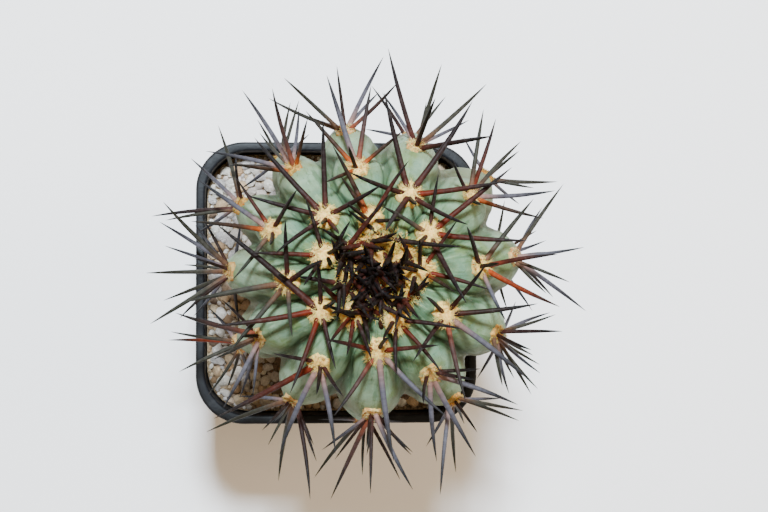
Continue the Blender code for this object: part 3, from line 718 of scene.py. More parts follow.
def rounded_square(width, z):
    """A square loop with round corners, counterclockwise at height z."""
    corner = wall_corner(width)
    reach = width / 2 - corner
    points = []
    for quarter, (across, along) in enumerate(((1, 1), (-1, 1), (-1, -1), (1, -1))):
        for step in range(CORNER_STEPS + 1):
            angle = math.radians(90 * quarter + 90 * step / CORNER_STEPS)
            points.append(Vector((reach * across + corner * math.cos(angle),
                                  reach * along + corner * math.sin(angle), z)))
    return points


def past_square(x, y, width):
    """How far a point lies outside a rounded square; less than 0 inside."""
    corner = wall_corner(width)
    reach = width / 2 - corner
    return math.hypot(max(abs(x) - reach, 0), max(abs(y) - reach, 0)) - corner


def wall_width(z):
    """Outer width of the tapered wall at height z, under the lip."""
    top = POT_WIDTH - 2 * LIP_STEP
    return POT_BASE_WIDTH + (top - POT_BASE_WIDTH) * z / (POT_HEIGHT - LIP_HEIGHT)


def wall_corner(width):
    """Corner radius that shrinks with the wall's width."""
    return POT_CORNER * width / POT_WIDTH


def inner_width(z):
    """Width of the pot's inside at height z."""
    return wall_width(min(z, POT_HEIGHT - LIP_HEIGHT)) - 2 * POT_WALL


def rounding(width, z, turn_from, turn_to, side):
    """Widths and heights round an edge's quarter circle; side is 1 for outer edges."""
    arc = []
    for step in range(EDGE_STEPS + 1):
        turn = math.radians(turn_from + (turn_to - turn_from) * step / EDGE_STEPS)
        arc.append((width + 2 * side * EDGE_ROUNDING * math.cos(turn),
                    z + EDGE_ROUNDING * math.sin(turn)))
    return arc


def make_pot():
    """The pot's shell with its rolled lip, floor and drain holes, finely rounded."""
    under_lip = POT_HEIGHT - LIP_HEIGHT
    lip_inside = POT_WIDTH - 2 * LIP_WIDTH
    e = EDGE_ROUNDING
    profile = rounding(wall_width(0) - 2 * e, e, -90, 0, 1)
    outside = [under_lip * k / WALL_RINGS for k in range(1, WALL_RINGS + 1)]
    profile += [(wall_width(z), z) for z in outside]
    profile += [(POT_WIDTH - e, under_lip + LIP_STEP * LIP_EASE)]
    profile += [(POT_WIDTH, under_lip + LIP_STEP)]
    profile += rounding(POT_WIDTH - 2 * e, POT_HEIGHT - e, 0, 90, 1)
    profile += rounding(lip_inside + 2 * e, POT_HEIGHT - e, 90, 0, -1)
    profile += [(inner_width(under_lip), under_lip - LIP_STEP)]
    inside = [under_lip * k / INNER_RINGS for k in range(INNER_RINGS - 1, 0, -1)]
    profile += [(inner_width(z), z) for z in inside]
    profile += [(inner_width(POT_FLOOR), POT_FLOOR)]
    loops = np.array([rounded_square(width, z) for width, z in reversed(profile)])
    pot = mesh_object("pot_shell", *closed_grid(loops))
    for i in range(4):
        cut_drain(pot, DRAIN_OFFSET * (1 if i % 2 else -1), DRAIN_OFFSET * (1 if i // 2 else -1))
    pot.data.set_sharp_from_angle(angle=math.radians(POT_SHARP_ANGLE))
    dress(pot, "pot", pot_finish())


def cut_drain(pot, x, y):
    """Cut one round drain hole through the pot's floor."""
    ends = [circle(DRAIN_RADIUS, z, DRAIN_SIDES, x, y) for z in (2 * POT_FLOOR, -POT_FLOOR)]
    cutter = mesh_object("drain_cutter", *closed_grid(np.array(ends)))
    cut = pot.modifiers.new("drain", "BOOLEAN")
    cut.operation = "DIFFERENCE"
    cut.solver = "EXACT"
    cut.object = cutter
    bpy.context.view_layer.update()
    done = pot.evaluated_get(bpy.context.evaluated_depsgraph_get())
    mesh = bpy.data.meshes.new_from_object(done)
    pot.modifiers.clear()
    pot.data = mesh
    bpy.data.objects.remove(cutter, do_unlink=True)


# Soil

def neck_profile():
    """Radius and height of the neck's loops, from the belly down to its blunt end."""
    soil_top = POT_HEIGHT - SOIL_BELOW_RIM
    end = soil_top - NECK_DEPTH
    return [
        (NECK_RADIUS, soil_top + NECK_COLLAR[0]),
        (NECK_RADIUS, soil_top - NECK_COLLAR[1]),
        (NECK_RADIUS * NECK_WAIST[0], soil_top - NECK_DEPTH * NECK_WAIST[1]),
        (NECK_TIP_RADIUS, end + NECK_TIP_LENGTH),
        (NECK_TIP_RADIUS * NECK_END_SHARE, end),
    ]


def circle(radius, z, count, x=PLANT_X, y=PLANT_Y):
    """A loop of points round an upright axis at x and y, or else round the plant's."""
    return [Vector((x + radius * math.cos(math.tau * i / count),
                    y + radius * math.sin(math.tau * i / count), z)) for i in range(count)]


def square_edge(width, z, count):
    """Points where rays from the plant's axis meet a rounded square."""
    points = []
    for i in range(count):
        angle = math.tau * i / count
        ray_x, ray_y = math.cos(angle), math.sin(angle)
        near, far = 0.0, width
        for _ in range(HALVINGS):
            middle = (near + far) / 2
            if past_square(PLANT_X + ray_x * middle, PLANT_Y + ray_y * middle, width) > 0:
                far = middle
            else:
                near = middle
        points.append(Vector((PLANT_X + ray_x * near, PLANT_Y + ray_y * near, z)))
    return points


def make_soil():
    """The bed of fines that fills the pot, with the neck's hole."""
    top = POT_HEIGHT - SOIL_BELOW_RIM
    bottom = POT_FLOOR + SOIL_GAP
    hole = [(radius + SOIL_GAP, z) for radius, z in neck_profile()[1:-1]]
    end_radius, end = neck_profile()[-1]
    hole.append((end_radius + SOIL_GAP, end - SOIL_GAP))
    loops = [circle(radius, z, SOIL_COLUMNS) for radius, z in reversed(hole)]
    inner = circle(NECK_RADIUS + SOIL_GAP, top - COLLAR_DIP, SOIL_COLUMNS)
    outer = square_edge(inner_width(top) - 2 * SOIL_GAP, top, SOIL_COLUMNS)
    loops.append(inner)
    for ring in range(1, SOIL_RINGS):
        share = ring / SOIL_RINGS
        loop = [a.lerp(b, share) for a, b in zip(inner, outer)]
        for point in loop:
            wave = noise.noise(point * SOIL_WAVES_PER_METRE) - SOIL_SINK
            point.z = top + wave * SOIL_WAVE
        loops.append(loop)
    loops.append(outer)
    loops.append(square_edge(inner_width(bottom) - 2 * SOIL_GAP, bottom, SOIL_COLUMNS))
    bed = mesh_object("soil_bed", *closed_grid(np.array(loops)))
    dress(bed, "soil", soil_finish())


def stone_spots(draw):
    """Places and sizes for the stones: large ones first, none much inside another."""
    top = POT_HEIGHT - SOIL_BELOW_RIM
    low, high = STONE_RADIUS
    sizes = sorted((low + (high - low) * draw.random() ** STONE_RARITY
                    for _ in range(STONE_COUNT)), reverse=True)
    half = inner_width(top) / 2 - STONE_CLEARANCE
    spots = []
    for size in sizes:
        for _ in range(STONE_TRIES):
            x = draw.uniform(-half, half)
            y = draw.uniform(-half, half)
            from_neck = math.hypot(x - PLANT_X, y - PLANT_Y) - NECK_RADIUS - STONE_CLEARANCE
            if past_square(x, y, 2 * half) > -size or from_neck < size:
                continue
            if all(math.hypot(x - a, y - b) > STONE_SPACING * (size + r) for a, b, r in spots):
                spots.append((x, y, size))
                break
    return spots


def stone_colour(x, y, draw):
    """Pale pumice prevails towards the far left, brown grit towards the near side."""
    pale = PALE_SHARE + PALE_PER_METRE[1] * y + PALE_PER_METRE[0] * x
    few, many = PALE_LIMITS
    tones = PALE_STONES if draw.random() < min(max(pale, few), many) else BROWN_STONES
    tone = draw.choice(tones)
    shade = draw.uniform(*STONE_SHADE)
    return tuple(c * shade for c in linear(tone))


def make_grit():
    """Angular stones that lie on the soil, one colour each."""
    draw = random.Random(SEED + 1)
    top = POT_HEIGHT - SOIL_BELOW_RIM
    bm = bmesh.new()
    bmesh.ops.create_icosphere(bm, subdivisions=2, radius=1.0)
    ball = np.array([vert.co for vert in bm.verts])
    ball_faces = np.array([[vert.index for vert in face.verts] for face in bm.faces])
    bm.free()
    points, faces, paints = [], [], []
    for x, y, size in stone_spots(draw):
        flats = [Vector([draw.gauss(0, 1) for _ in range(3)]).normalized()
                 for _ in range(STONE_FLATS)]
        shape = ball.copy()
        for flat in flats:
            depth = shape @ np.array(flat)
            limit = draw.uniform(*STONE_CUT)
            shape -= np.outer(np.clip(depth - limit, 0, None), np.array(flat))
        shape *= [size * draw.uniform(*limits) for limits in STONE_STRETCH]
        turn = Matrix.Rotation(draw.uniform(0, math.tau), 3, "Z") @ Matrix.Rotation(
            draw.uniform(-STONE_TILT, STONE_TILT), 3, "X")
        shape = shape @ np.array(turn.transposed())
        shape += [x, y, top + size * draw.uniform(*STONE_LIFT)]
        faces.extend((ball_faces + len(points) * len(ball)).tolist())
        points.append(shape)
        paints.append(np.tile(stone_colour(x, y, draw), (len(ball), 1)))
    grit = mesh_object("grit", np.array(points), faces)
    grit.data.set_sharp_from_angle(angle=math.radians(STONE_SHARP_ANGLE))
    store(grit, "paint", np.concatenate(paints))
    dress(grit, "soil", grit_finish())


# Stem

def polar_angle(age):
    """Angle from the crown, in degrees, of an areole of this age."""
    return AREOLE_STEP * age + AREOLE_GROWTH * age * age


def age_at(angle):
    """Age of the stem at an angle from the crown: the reverse of polar_angle."""
    root = np.sqrt(AREOLE_STEP ** 2 + 4 * AREOLE_GROWTH * angle)
    return (root - AREOLE_STEP) / (2 * AREOLE_GROWTH)


def turn_between(a, b):
    """Smallest turn from compass angle b to a, from -180 to 180."""
    return (a - b + 180) % 360 - 180


def rib_course(rib):
    """Number, age and compass angle at every areole of a rib, hidden ones too.

    The first areole that shows has number 1. Those that don't show follow the rule.
    """
    seen = [(age_at(angle), azimuth) for azimuth, angle in RIBS[rib]]
    first_age, first_azimuth = seen[0]
    last_azimuth = seen[-1][1]
    young = [(k, first_age + k - 1, first_azimuth) for k in (-1, 0)]
    shown = [(k + 1, age, azimuth) for k, (age, azimuth) in enumerate(seen)]
    hidden = [(k, first_age + k - 1, last_azimuth) for k in range(len(seen) + 1, 8)]
    return np.array(young + shown + hidden)


COURSES = [rib_course(rib) for rib in RIBS]


def tubercle_relief(angle, azimuth):
    """How far the surface stands out, its seams, and its place across the ribs.

    The first is 0 in a furrow and 1 on a tubercle. A seam is the fine crease that crosses a
    rib level with the upper edge of its areole. The place across grows by 2 for each rib.
    """
    age = age_at(angle)
    centres = [np.interp(age, course[:, 1], course[:, 2]) for course in COURSES]
    sharp = smooth_step(angle, *SHARPENING)
    bow = RIB_BOWS[0] + (RIB_BOWS[1] - RIB_BOWS[0]) * sharp
    best = np.zeros(np.broadcast(angle, azimuth).shape)
    seam = np.zeros_like(best)
    lane = np.zeros_like(best)
    for i, course in enumerate(COURSES):
        turn = turn_between(azimuth, centres[i])
        before = np.abs(turn_between(centres[i - 1], centres[i])) / 2
        after = np.abs(turn_between(centres[(i + 1) % len(COURSES)], centres[i])) / 2
        across = np.where(turn > 0, turn / after, turn / before)
        number = np.interp(age, course[:, 1], course[:, 0])
        along = 2 * (number - np.round(number)) - CHIN_SHIFT
        dip = (0.5 - 0.5 * np.cos(np.pi * along)) ** DIP_POWER
        height = 1 - np.abs(across) ** bow - NOTCH_SHARE * dip
        lane = np.where(np.abs(across) <= 1, across + 2 * i, lane)
        best = np.maximum(best, np.where(np.abs(turn) < RIB_REACH, height, 0))
        line = (along + SEAM_PLACE - SEAM_ARCH * across ** 2) / SEAM_WIDTH
        seam = np.maximum(seam, np.exp(-line ** 2) * (np.abs(across) < SEAM_REACH))
    return best - FURROW_DEEPENING * sharp * (1 - best), seam, lane


def stem_at(angle, azimuth, relief):
    """Points of the stem, for a relief from 0 to 1, and the smooth globe's normals there."""
    t, turn = np.radians(angle), np.radians(azimuth)
    rise = np.where(np.asarray(angle) <= 90, CROWN_RISE, BELLY_DROP)
    flat, side = FURROW_RADIUS * np.sin(t), np.sin(t) / FURROW_RADIUS
    point, normal = (np.stack(np.broadcast_arrays(*parts), -1) for parts in (
        (PLANT_X + flat * np.cos(turn), PLANT_Y + flat * np.sin(turn),
         EQUATOR_HEIGHT + rise * np.cos(t)),
        (side * np.cos(turn), side * np.sin(turn), np.cos(t) / rise)))
    normal = normal / np.linalg.norm(normal, axis=-1, keepdims=True)
    height = RIB_HEIGHT * np.maximum(np.sin(t), CROWN_RELIEF)
    height = height * (1 - smooth_step(angle, *RELIEF_FADE)) * relief
    return point + normal * height[..., None], normal


def wavy(points, size, seed):
    """Smooth noise from -1 to 1 at each point, with lumps of about size metres."""
    shift = Vector([seed * step for step in NOISE_STEPS])
    values = [noise.noise(Vector(p) / size + shift) for p in points.reshape(-1, 3)]
    return np.reshape(values, points.shape[:-1])


def make_stem(areoles):
    """The ribbed globe with its tubercles, seams and lumps, and the neck."""
    angle = np.linspace(*ROW_ANGLES, STEM_ROWS)[:, None]
    azimuth = (360 / STEM_COLUMNS * np.arange(STEM_COLUMNS))[None, :]
    relief, seam, lane = tubercle_relief(angle, azimuth)
    points, normals = stem_at(angle, azimuth, relief)
    lumps = sum(wavy(points, size, seed) * depth
                for seed, (size, depth) in enumerate(LUMP_SIZES_AND_DEPTHS, 1))
    mean, swing = SEAM_STRENGTH
    broken = mean + swing * wavy(points, SEAM_BREAK_SIZE, 3)
    seam = seam * broken * (1 - smooth_step(angle, *SEAM_FADE))
    crease = np.exp(-(np.maximum(relief, 0) / CREASE_WIDTH) ** 2) * CREASE_DEPTH
    lift = lumps - seam * SEAM_DEPTH - crease * (1 - smooth_step(angle, *CREASE_FADE))
    points = points + normals * (lift * smooth_step(angle, *CROWN_SMOOTHING))[..., None]
    neck = np.array([circle(radius, z, STEM_COLUMNS) for radius, z in neck_profile()])
    grid = np.concatenate([points, neck])
    stem = mesh_object("stem", *closed_grid(grid))
    none = np.zeros(neck.shape[:2])
    near = np.ones(grid.shape[:2])
    for areole in areoles:
        near = np.minimum(near, np.linalg.norm(grid - np.array(areole.place), axis=-1))
    signals = {
        "crest": np.concatenate([relief, none]),
        "fall": np.concatenate([np.broadcast_to(angle / 180, relief.shape), none + 1]),
        "seam": np.concatenate([seam, none]),
        "lane": np.concatenate([lane, none]),
        "near_pad": near,
    }
    for name, values in signals.items():
        store(stem, name, np.append(values, [values[0, 0], values[-1, -1]]))
    dress(stem, "cactus", stem_finish())


# Areoles

class Areole:
    """One woolly pad, with its place and its own frame on the stem."""

    def __init__(self, rib, number, age, azimuth):
        angle = polar_angle(age)
        self.name = f"{rib}{number:.0f}"
        self.age = age
        self.angle = angle
        self.young = number == 0
        place, normal = stem_at(angle, azimuth, tubercle_relief(angle, azimuth)[0])
        self.place, self.normal = Vector(place), Vector(normal)
        turn = math.radians(azimuth)
        self.side = Vector((-math.sin(turn), math.cos(turn), 0))
        self.down = self.side.cross(self.normal).normalized()
        worn = min(max((angle - PAD_SHRINK[0]) / (PAD_SHRINK[1] - PAD_SHRINK[0]), 0.0), 1.0)
        self.size = PAD_YOUNG_SHARE if self.young else 1 - (1 - PAD_OLD_SHARE) * worn
        self.rise = PAD_RISE * (1 - PAD_SAG * worn)
        self.wear = worn


def list_areoles():
    """Every areole of the plant, the youngest of each rib first."""
    return [Areole(rib, number, age, azimuth)
            for rib, course in zip(RIBS, COURSES) for number, age, azimuth in course
            if number >= 0 and age >= YOUNGEST_AGE and polar_angle(age) < LOWEST_AREOLE]


def wool_colour(age, draw):
    """Golden in the crown, cream on fresh areoles and ochre on old ones."""
    tones = (YOUNG_WOOL, FRESH_WOOL, draw.choice(OLD_WOOL))
    golden, cream, ochre = (np.array(linear(tone)) for tone in tones)
    fresh = smooth_step(age, *WOOL_OPENS)
    old = smooth_step(age + draw.uniform(-WOOL_JITTER, WOOL_JITTER), *WOOL_AGES)
    return (golden * (1 - fresh) + cream * fresh) * (1 - old) + ochre * old


# Rods

class Rods:
    """Many tapered, gently bent rods, such as spines or fibres, which become one mesh."""

    def __init__(self, sides, profile, root_depth, bend):
        self.sides = sides
        self.profile = profile
        self.root_depth = root_depth
        self.bend = bend
        self.rows = []

    def add(self, base, direction, length, radius, tint, sway=0.0):
        """Note one rod; tint is three linear colours for root, middle and tip."""
        self.rows.append((*base, *direction, length, radius, sway, *np.ravel(tint)))

    def make(self, name):
        """The mesh of every rod, with its colour and its distance along the rod."""
        rows = np.array(self.rows)
        base, head = rows[:, 0:3], rows[:, 3:6]
        head = head / np.linalg.norm(head, axis=1, keepdims=True)
        length, radius, sway = rows[:, 6], rows[:, 7], rows[:, 8]
        tints = rows[:, 9:18].reshape(-1, 3, 3)
        side = np.cross(head, [0.0, 0.0, 1.0])
        side[np.linalg.norm(side, axis=1) < ROD_UPRIGHT] = (1.0, 0.0, 0.0)
        side /= np.linalg.norm(side, axis=1, keepdims=True)
        over = np.cross(side, head)
        over /= np.linalg.norm(over, axis=1, keepdims=True)
        turns = math.tau * np.arange(self.sides) / self.sides
        ring = (side[:, None] * np.cos(turns)[None, :, None]
                - over[:, None] * np.sin(turns)[None, :, None])
        places, shares, paints = [], [], []
        stations = [(-self.root_depth / length, 1.0)]
        stations += [(np.full(len(rows), s), wide) for s, wide in self.profile]
        for s, wide in stations:
            arch = np.where(s > 0, self.bend * (ROD_ARCH * s * s - (ROD_ARCH - 1) * s), 0)
            arch = arch * length
            centre = (base + head * (length * s)[:, None] + over * arch[:, None]
                      + side * (sway * length * np.maximum(s, 0) * (s - 1))[:, None])
            places.append(centre[:, None] + ring * (radius * wide)[:, None, None])
            shares.append(np.repeat(np.maximum(s, 0)[:, None], self.sides, 1))
        tips = base + head * length[:, None] + over * (self.bend * length)[:, None]
        grid = np.stack(places, 1)
        count, rings, sides = grid.shape[:3]
        index = np.arange(count * rings * sides).reshape(count, rings, sides)
        following = np.roll(index, -1, axis=2)
        quads = np.stack((index[:, :-1], following[:, :-1], following[:, 1:], index[:, 1:]), -1)
        tip_index = count * rings * sides + np.arange(count)
        spikes = np.stack((index[:, -1], following[:, -1],
                           np.repeat(tip_index[:, None], sides, 1)), -1)
        caps = index[:, 0, ::-1]
        faces = quads.reshape(-1, 4).tolist() + spikes.reshape(-1, 3).tolist() + caps.tolist()
        rods = mesh_object(name, np.concatenate([grid.reshape(-1, 3), tips]), faces)
        share = np.stack(shares, 1)
        early = smooth_step(share, *MIDDLE_TINT_SPAN)[..., None]
        late = smooth_step(share, *TIP_TINT_SPAN)[..., None]
        first, middle, last = (tints[:, k][:, None, None] for k in range(3))
        paints = (first * (1 - early) + middle * early) * (1 - late) + last * late
        store(rods, "paint", np.concatenate([paints.reshape(-1, 3), tints[:, 2]]))
        offset = ROD_STEP * np.arange(count)
        along = share * length[:, None, None] + offset[:, None, None]
        store(rods, "along", np.concatenate([along.ravel(), length + offset]))
        return rods


# Wool

def on_pad(areole, turn, share):
    """Offset from the pad's middle, at a turn and a share of its reach."""
    return (areole.down * math.cos(turn) * PAD_LENGTH
            + areole.side * math.sin(turn) * PAD_WIDTH) * share * areole.size


def stained(colour, stain):
    """The wool's colour with this share of brown stain."""
    return colour * (1 - stain) + np.array(linear(STAIN_TONE)) * stain


def scatter(draw, spread):
    """A random offset of about this spread."""
    return Vector([draw.gauss(0, spread) for _ in range(3)])


def add_pad(points, faces, paints, areole, colour):
    """The pad's felted dome, lumpy and with an uneven edge."""
    start = len(points)
    shift = Vector((areole.age * PAD_VARIETY, areole.angle, 0))
    for share, rise in PAD_PROFILE:
        for i in range(PAD_SIDES):
            turn = math.tau * i / PAD_SIDES
            flat = on_pad(areole, turn, 1.0)
            place = Vector((math.cos(turn), math.sin(turn), 0))
            ragged = 1 + PAD_EDGE_WAVE * noise.noise(shift + place * PAD_EDGE_WAVES)
            lift = -PAD_SINK if rise == PAD_FOOT else areole.rise * rise
            if rise > 0:
                lift *= 1 + PAD_LUMP * noise.noise(shift + flat * PAD_LUMPS_PER_METRE)
            points.append(areole.place + flat * share * ragged + areole.normal * lift)
            patch = max(noise.noise(shift + flat * share * STAINS_PER_METRE), 0.0)
            stain = min(STAIN_GAIN * patch * (STAIN_START + areole.wear), STAIN_LIMIT)
            paints.append(stained(colour, stain))
    points.append(areole.place + areole.normal * areole.rise * PAD_PEAK)
    paints.append(colour)
    for row in range(len(PAD_PROFILE) - 1):
        for i in range(PAD_SIDES):
            a = start + row * PAD_SIDES + i
            b = start + row * PAD_SIDES + (i + 1) % PAD_SIDES
            faces.append((a, b, b + PAD_SIDES, a + PAD_SIDES))
    last = start + (len(PAD_PROFILE) - 1) * PAD_SIDES
    for i in range(PAD_SIDES):
        faces.append((last + i, last + (i + 1) % PAD_SIDES, len(points) - 1))
    faces.append(tuple(start + i for i in reversed(range(PAD_SIDES))))


def add_fibres(rods, areole, colour, draw):
    """Wool fibres: pointed locks that radiate from the pad's edge, and short ones on top."""
    locks = [(math.tau * (k + draw.uniform(-TUFT_JITTER, TUFT_JITTER)) / TUFTS,
              draw.uniform(*TUFT_REACH)) for k in range(TUFTS)]
    for k in range(EDGE_FIBRES + TOP_FIBRES):
        edge = k < EDGE_FIBRES
        centre, reach = locks[k % TUFTS]
        turn = centre + draw.gauss(0, TUFT_SPREAD) if edge else draw.uniform(0, math.tau)
        foot = on_pad(areole, turn, draw.uniform(*(EDGE_FOOT if edge else TOP_FOOT)))
        rise = areole.rise * (EDGE_FOOT_RISE if edge else TOP_FOOT_RISE)
        base = areole.place + foot + areole.normal * rise
        if edge:
            turn = TUFT_PULL * centre + (1 - TUFT_PULL) * turn + draw.gauss(0, TUFT_FRAY)
            tip = areole.place + on_pad(areole, turn, reach * draw.uniform(*EDGE_TIP))
            lean = tip + areole.normal * areole.rise * draw.uniform(*EDGE_TIP_RISE) - base
            length = lean.length
        else:
            flat = on_pad(areole, turn, 1.0).normalized()
            lean = flat + areole.normal * draw.uniform(*TOP_LEAN)
            length = draw.uniform(*TOP_LENGTH)
        lean = lean.normalized() + scatter(draw, FIBRE_SCATTER)
        stain = FIBRE_STAIN if draw.random() < STAINED_SHARE * areole.wear else 0.0
        tone = stained(colour, stain) * draw.uniform(*FIBRE_SHADE)
        rods.add(base, lean, length, FIBRE_RADIUS * draw.uniform(*FIBRE_GIRTH), [tone] * 3,
                 draw.uniform(-FIBRE_SWAY, FIBRE_SWAY))


def make_wool(areoles):
    """Every areole's felt and fibres, as two pieces with one material."""
    draw = random.Random(SEED + 2)
    points, faces, paints = [], [], []
    rods = Rods(FIBRE_SIDES, FIBRE_PROFILE, FIBRE_ROOT, FIBRE_BEND)
    for areole in areoles:
        colour = wool_colour(areole.age, draw)
        add_pad(points, faces, paints, areole, colour)
        add_fibres(rods, areole, colour, draw)
    pads = mesh_object("areole_felt", [tuple(p) for p in points], faces)
    store(pads, "paint", paints)
    felt = wool_finish("areole_felt", SOILED_SHARE)
    dress(pads, "cactus", felt)
    dress(rods.make("areole_fibres"), "cactus", felt)


def make_crown_wool():
    """The golden mat of wool over the growing point."""
    draw = random.Random(SEED + 3)
    rods = Rods(FIBRE_SIDES, FIBRE_PROFILE, CROWN_FIBRE_ROOT, FIBRE_BEND)
    golden, pale = (np.array(linear(tone)) for tone in CROWN_WOOL)
    for _ in range(CROWN_FIBRES):
        angle = CROWN_ANGLE * math.sqrt(draw.random()) * draw.uniform(*CROWN_FIBRE_REACH)
        azimuth = draw.uniform(0, 360)
        base, normal = (Vector(part) for part in stem_at(angle, azimuth, 1.0))
        base = base + normal * draw.uniform(*CROWN_FIBRE_LIFT)
        lean = (normal * draw.uniform(*CROWN_FIBRE_UP)
                + heading_vector(azimuth) * draw.uniform(*CROWN_FIBRE_OUT)
                + scatter(draw, CROWN_FIBRE_SCATTER))
        colour = golden + (pale - golden) * draw.random()
        rods.add(base, lean, draw.uniform(*CROWN_FIBRE_LENGTH), FIBRE_RADIUS * CROWN_FIBRE_GIRTH,
                 [colour * draw.uniform(*CROWN_FIBRE_SHADE)] * 3,
                 draw.uniform(-CROWN_FIBRE_SWAY, CROWN_FIBRE_SWAY))
    felt = wool_finish("crown_felt", 0.0)
    dress(rods.make("crown_fibres"), "cactus", felt)
    angle = np.linspace(MAT_START, CROWN_ANGLE * MAT_END, MAT_ROWS)[:, None]
    azimuth = (360 / MAT_COLUMNS * np.arange(MAT_COLUMNS))[None, :]
    relief = tubercle_relief(angle, azimuth)[0]
    low, high = (CROWN_ANGLE * share for share in MAT_LEVELLING)
    relief += (1 - relief) * (1 - smooth_step(angle, low, high))
    points, normals = stem_at(angle, azimuth, relief)
    thickness = MAT_RISE + wavy(points, MAT_LUMP_SIZE, 5) * MAT_LUMP
    ragged = angle * (1 + MAT_EDGE_WAVE * wavy(points, MAT_EDGE_WAVE_SIZE, 6))
    low, high = (CROWN_ANGLE * share for share in MAT_EDGE)
    lift = thickness * (1 - smooth_step(ragged, low, high)) - MAT_SINK
    under = stem_at(angle[::-1], azimuth, 0.0)[0] - normals[::-1] * MAT_DEPTH
    mat = mesh_object("crown_felt", *closed_grid(
        np.concatenate([points + normals * lift[..., None], under])))
    store(mat, "paint", np.tile(golden, (len(mat.data.vertices), 1)))
    dress(mat, "cactus", felt)


# Spines

def heading_vector(heading):
    """Level direction of a compass heading."""
    turn = math.radians(heading)
    return Vector((math.cos(turn), math.sin(turn), 0))


def rise_for_lean(areole, heading, lean):
    """How steeply a spine rises if it leans this far down, or up, from the normal."""
    level = areole.normal.dot(heading_vector(heading))
    upright = areole.normal.z
    size = math.hypot(level, upright)
    swing = math.acos(min(math.cos(math.radians(lean)) / size, 1.0))
    return math.degrees(math.atan2(upright, level) - math.copysign(swing, lean))


def seen_spines(areole):
    """Direction and length of the spines listed for this areole."""
    spines = []
    for k, (heading, reach_mm) in enumerate(SEEN_SPINES[areole.name]):
        reach = reach_mm / 1000
        lean = SIDE_LEANS[k % 3] if areole.angle > SIDE_ANGLE else RADIAL_LEAN
        rise = max(rise_for_lean(areole, heading, lean), -STEEPEST_FALL)
        length = reach / max(math.cos(math.radians(rise)), 0.1)
        if length < SHORTEST_SPINE:
            length = SHORTEST_SPINE
            rise = min(math.degrees(math.acos(reach / length)), STEEPEST_RISE)
        if length > LONGEST_SPINE:
            length = max(LONGEST_SPINE, reach)
            rise = math.copysign(math.degrees(math.acos(reach / length)), rise)
        level = math.cos(math.radians(rise))
        direction = heading_vector(heading) * level
        direction.z = math.sin(math.radians(rise))
        spines.append((direction, length))
    if areole.angle > SIDE_ANGLE:
        spines.extend((leaning(areole, clock, SKIRT_LEAN), length_mm / 1000)
                      for clock, length_mm in SKIRT_RADIALS)
    return spines


def leaning(areole, clock, lean):
    """Direction that leans from the normal towards a clock angle on the areole."""
    turn, tilt = math.radians(clock), math.radians(lean)
    flat = areole.down * math.cos(turn) + areole.side * math.sin(turn)
    return areole.normal * math.cos(tilt) + flat * math.sin(tilt)


def ruled_spines(areole, draw):
    """Spines by the general rule: radials round the pad and one central."""
    spin = draw.uniform(-RULED_SPIN, RULED_SPIN)
    spines = []
    for clock, length_mm in RULED_RADIALS:
        turn = clock + spin + draw.uniform(-1, 1) * CLOCK_JITTER
        lean = RADIAL_LEAN + draw.uniform(-1, 1) * LEAN_JITTER
        length = length_mm / 1000 * (1 + draw.uniform(-1, 1) * LENGTH_JITTER)
        spines.append((leaning(areole, turn, lean), length))
    length = RULED_CENTRAL / 1000 * (1 + draw.uniform(-1, 1) * LENGTH_JITTER)
    turn = draw.uniform(-CENTRAL_SPIN, CENTRAL_SPIN)
    spines.append((leaning(areole, turn, CENTRAL_LEAN), length))
    return spines


def crown_point(right, above):
    """The point of the stem's skin this far right of and above the crown, seen from above."""
    angle = math.degrees(math.asin(math.hypot(right, above) / FURROW_RADIUS))
    azimuth = math.degrees(math.atan2(above, right))
    return Vector(stem_at(angle, azimuth, tubercle_relief(angle, azimuth)[0])[0])


def crown_spines():
    """Root, direction and length of the steep spines that cross over the crown."""
    spines = []
    for right, above, heading, reach_mm in CROWN_SPINES:
        base = crown_point(right / 1000, above / 1000)
        reach = reach_mm / 1000
        length = max(CROWN_LENGTH, reach * CROWN_STRETCH)
        direction = heading_vector(heading) * reach / length
        direction.z = math.sqrt(1 - (reach / length) ** 2)
        spines.append((base, direction, length))
    return spines


def lift_clear(base, direction, length):
    """Raise a spine until it passes over the pot's rim or outside it."""
    keep_out = POT_WIDTH / 2 + POT_CLEARANCE
    level = Vector((direction.x, direction.y, 0)).normalized()
    rise = math.degrees(math.asin(max(-1.0, min(1.0, direction.z))))
    while rise < STEEPEST_RISE:
        tilt = math.radians(rise)
        direction = level * math.cos(tilt) + Vector((0, 0, math.sin(tilt)))
        points = [base + direction * length * step / LIFT_CHECKS
                  for step in range(2, LIFT_CHECKS + 1)]
        low = [p for p in points if p.z < POT_HEIGHT + POT_CLEARANCE
               and max(abs(p.x), abs(p.y)) < keep_out]
        if not low:
            break
        rise += LIFT_STEP
    return direction


def spines_of(areole, draw):
    """Direction and length of each of the areole's spines, and their colour letters."""
    if areole.young:
        listed, looks = [], CROWN_LOOKS
    elif areole.name in SEEN_SPINES:
        listed, looks = seen_spines(areole), SPINE_LOOKS[areole.name] + SKIRT_LOOKS
    else:
        listed, looks = ruled_spines(areole, draw), RULED_LOOKS
    return [(direction, length, looks[k % len(looks)])
            for k, (direction, length) in enumerate(listed)]


def spine_radius(length, angle=0.0):
    """Radius of a round spine near its root; those low on the plant are thinner."""
    slim = 1 - (1 - SPINE_OLD_SHARE) * smooth_step(angle, *SPINE_SLIMMING)
    return (SPINE_THIN + SPINE_STOUTNESS * length) * SPINE_ROUND_SHARE * slim


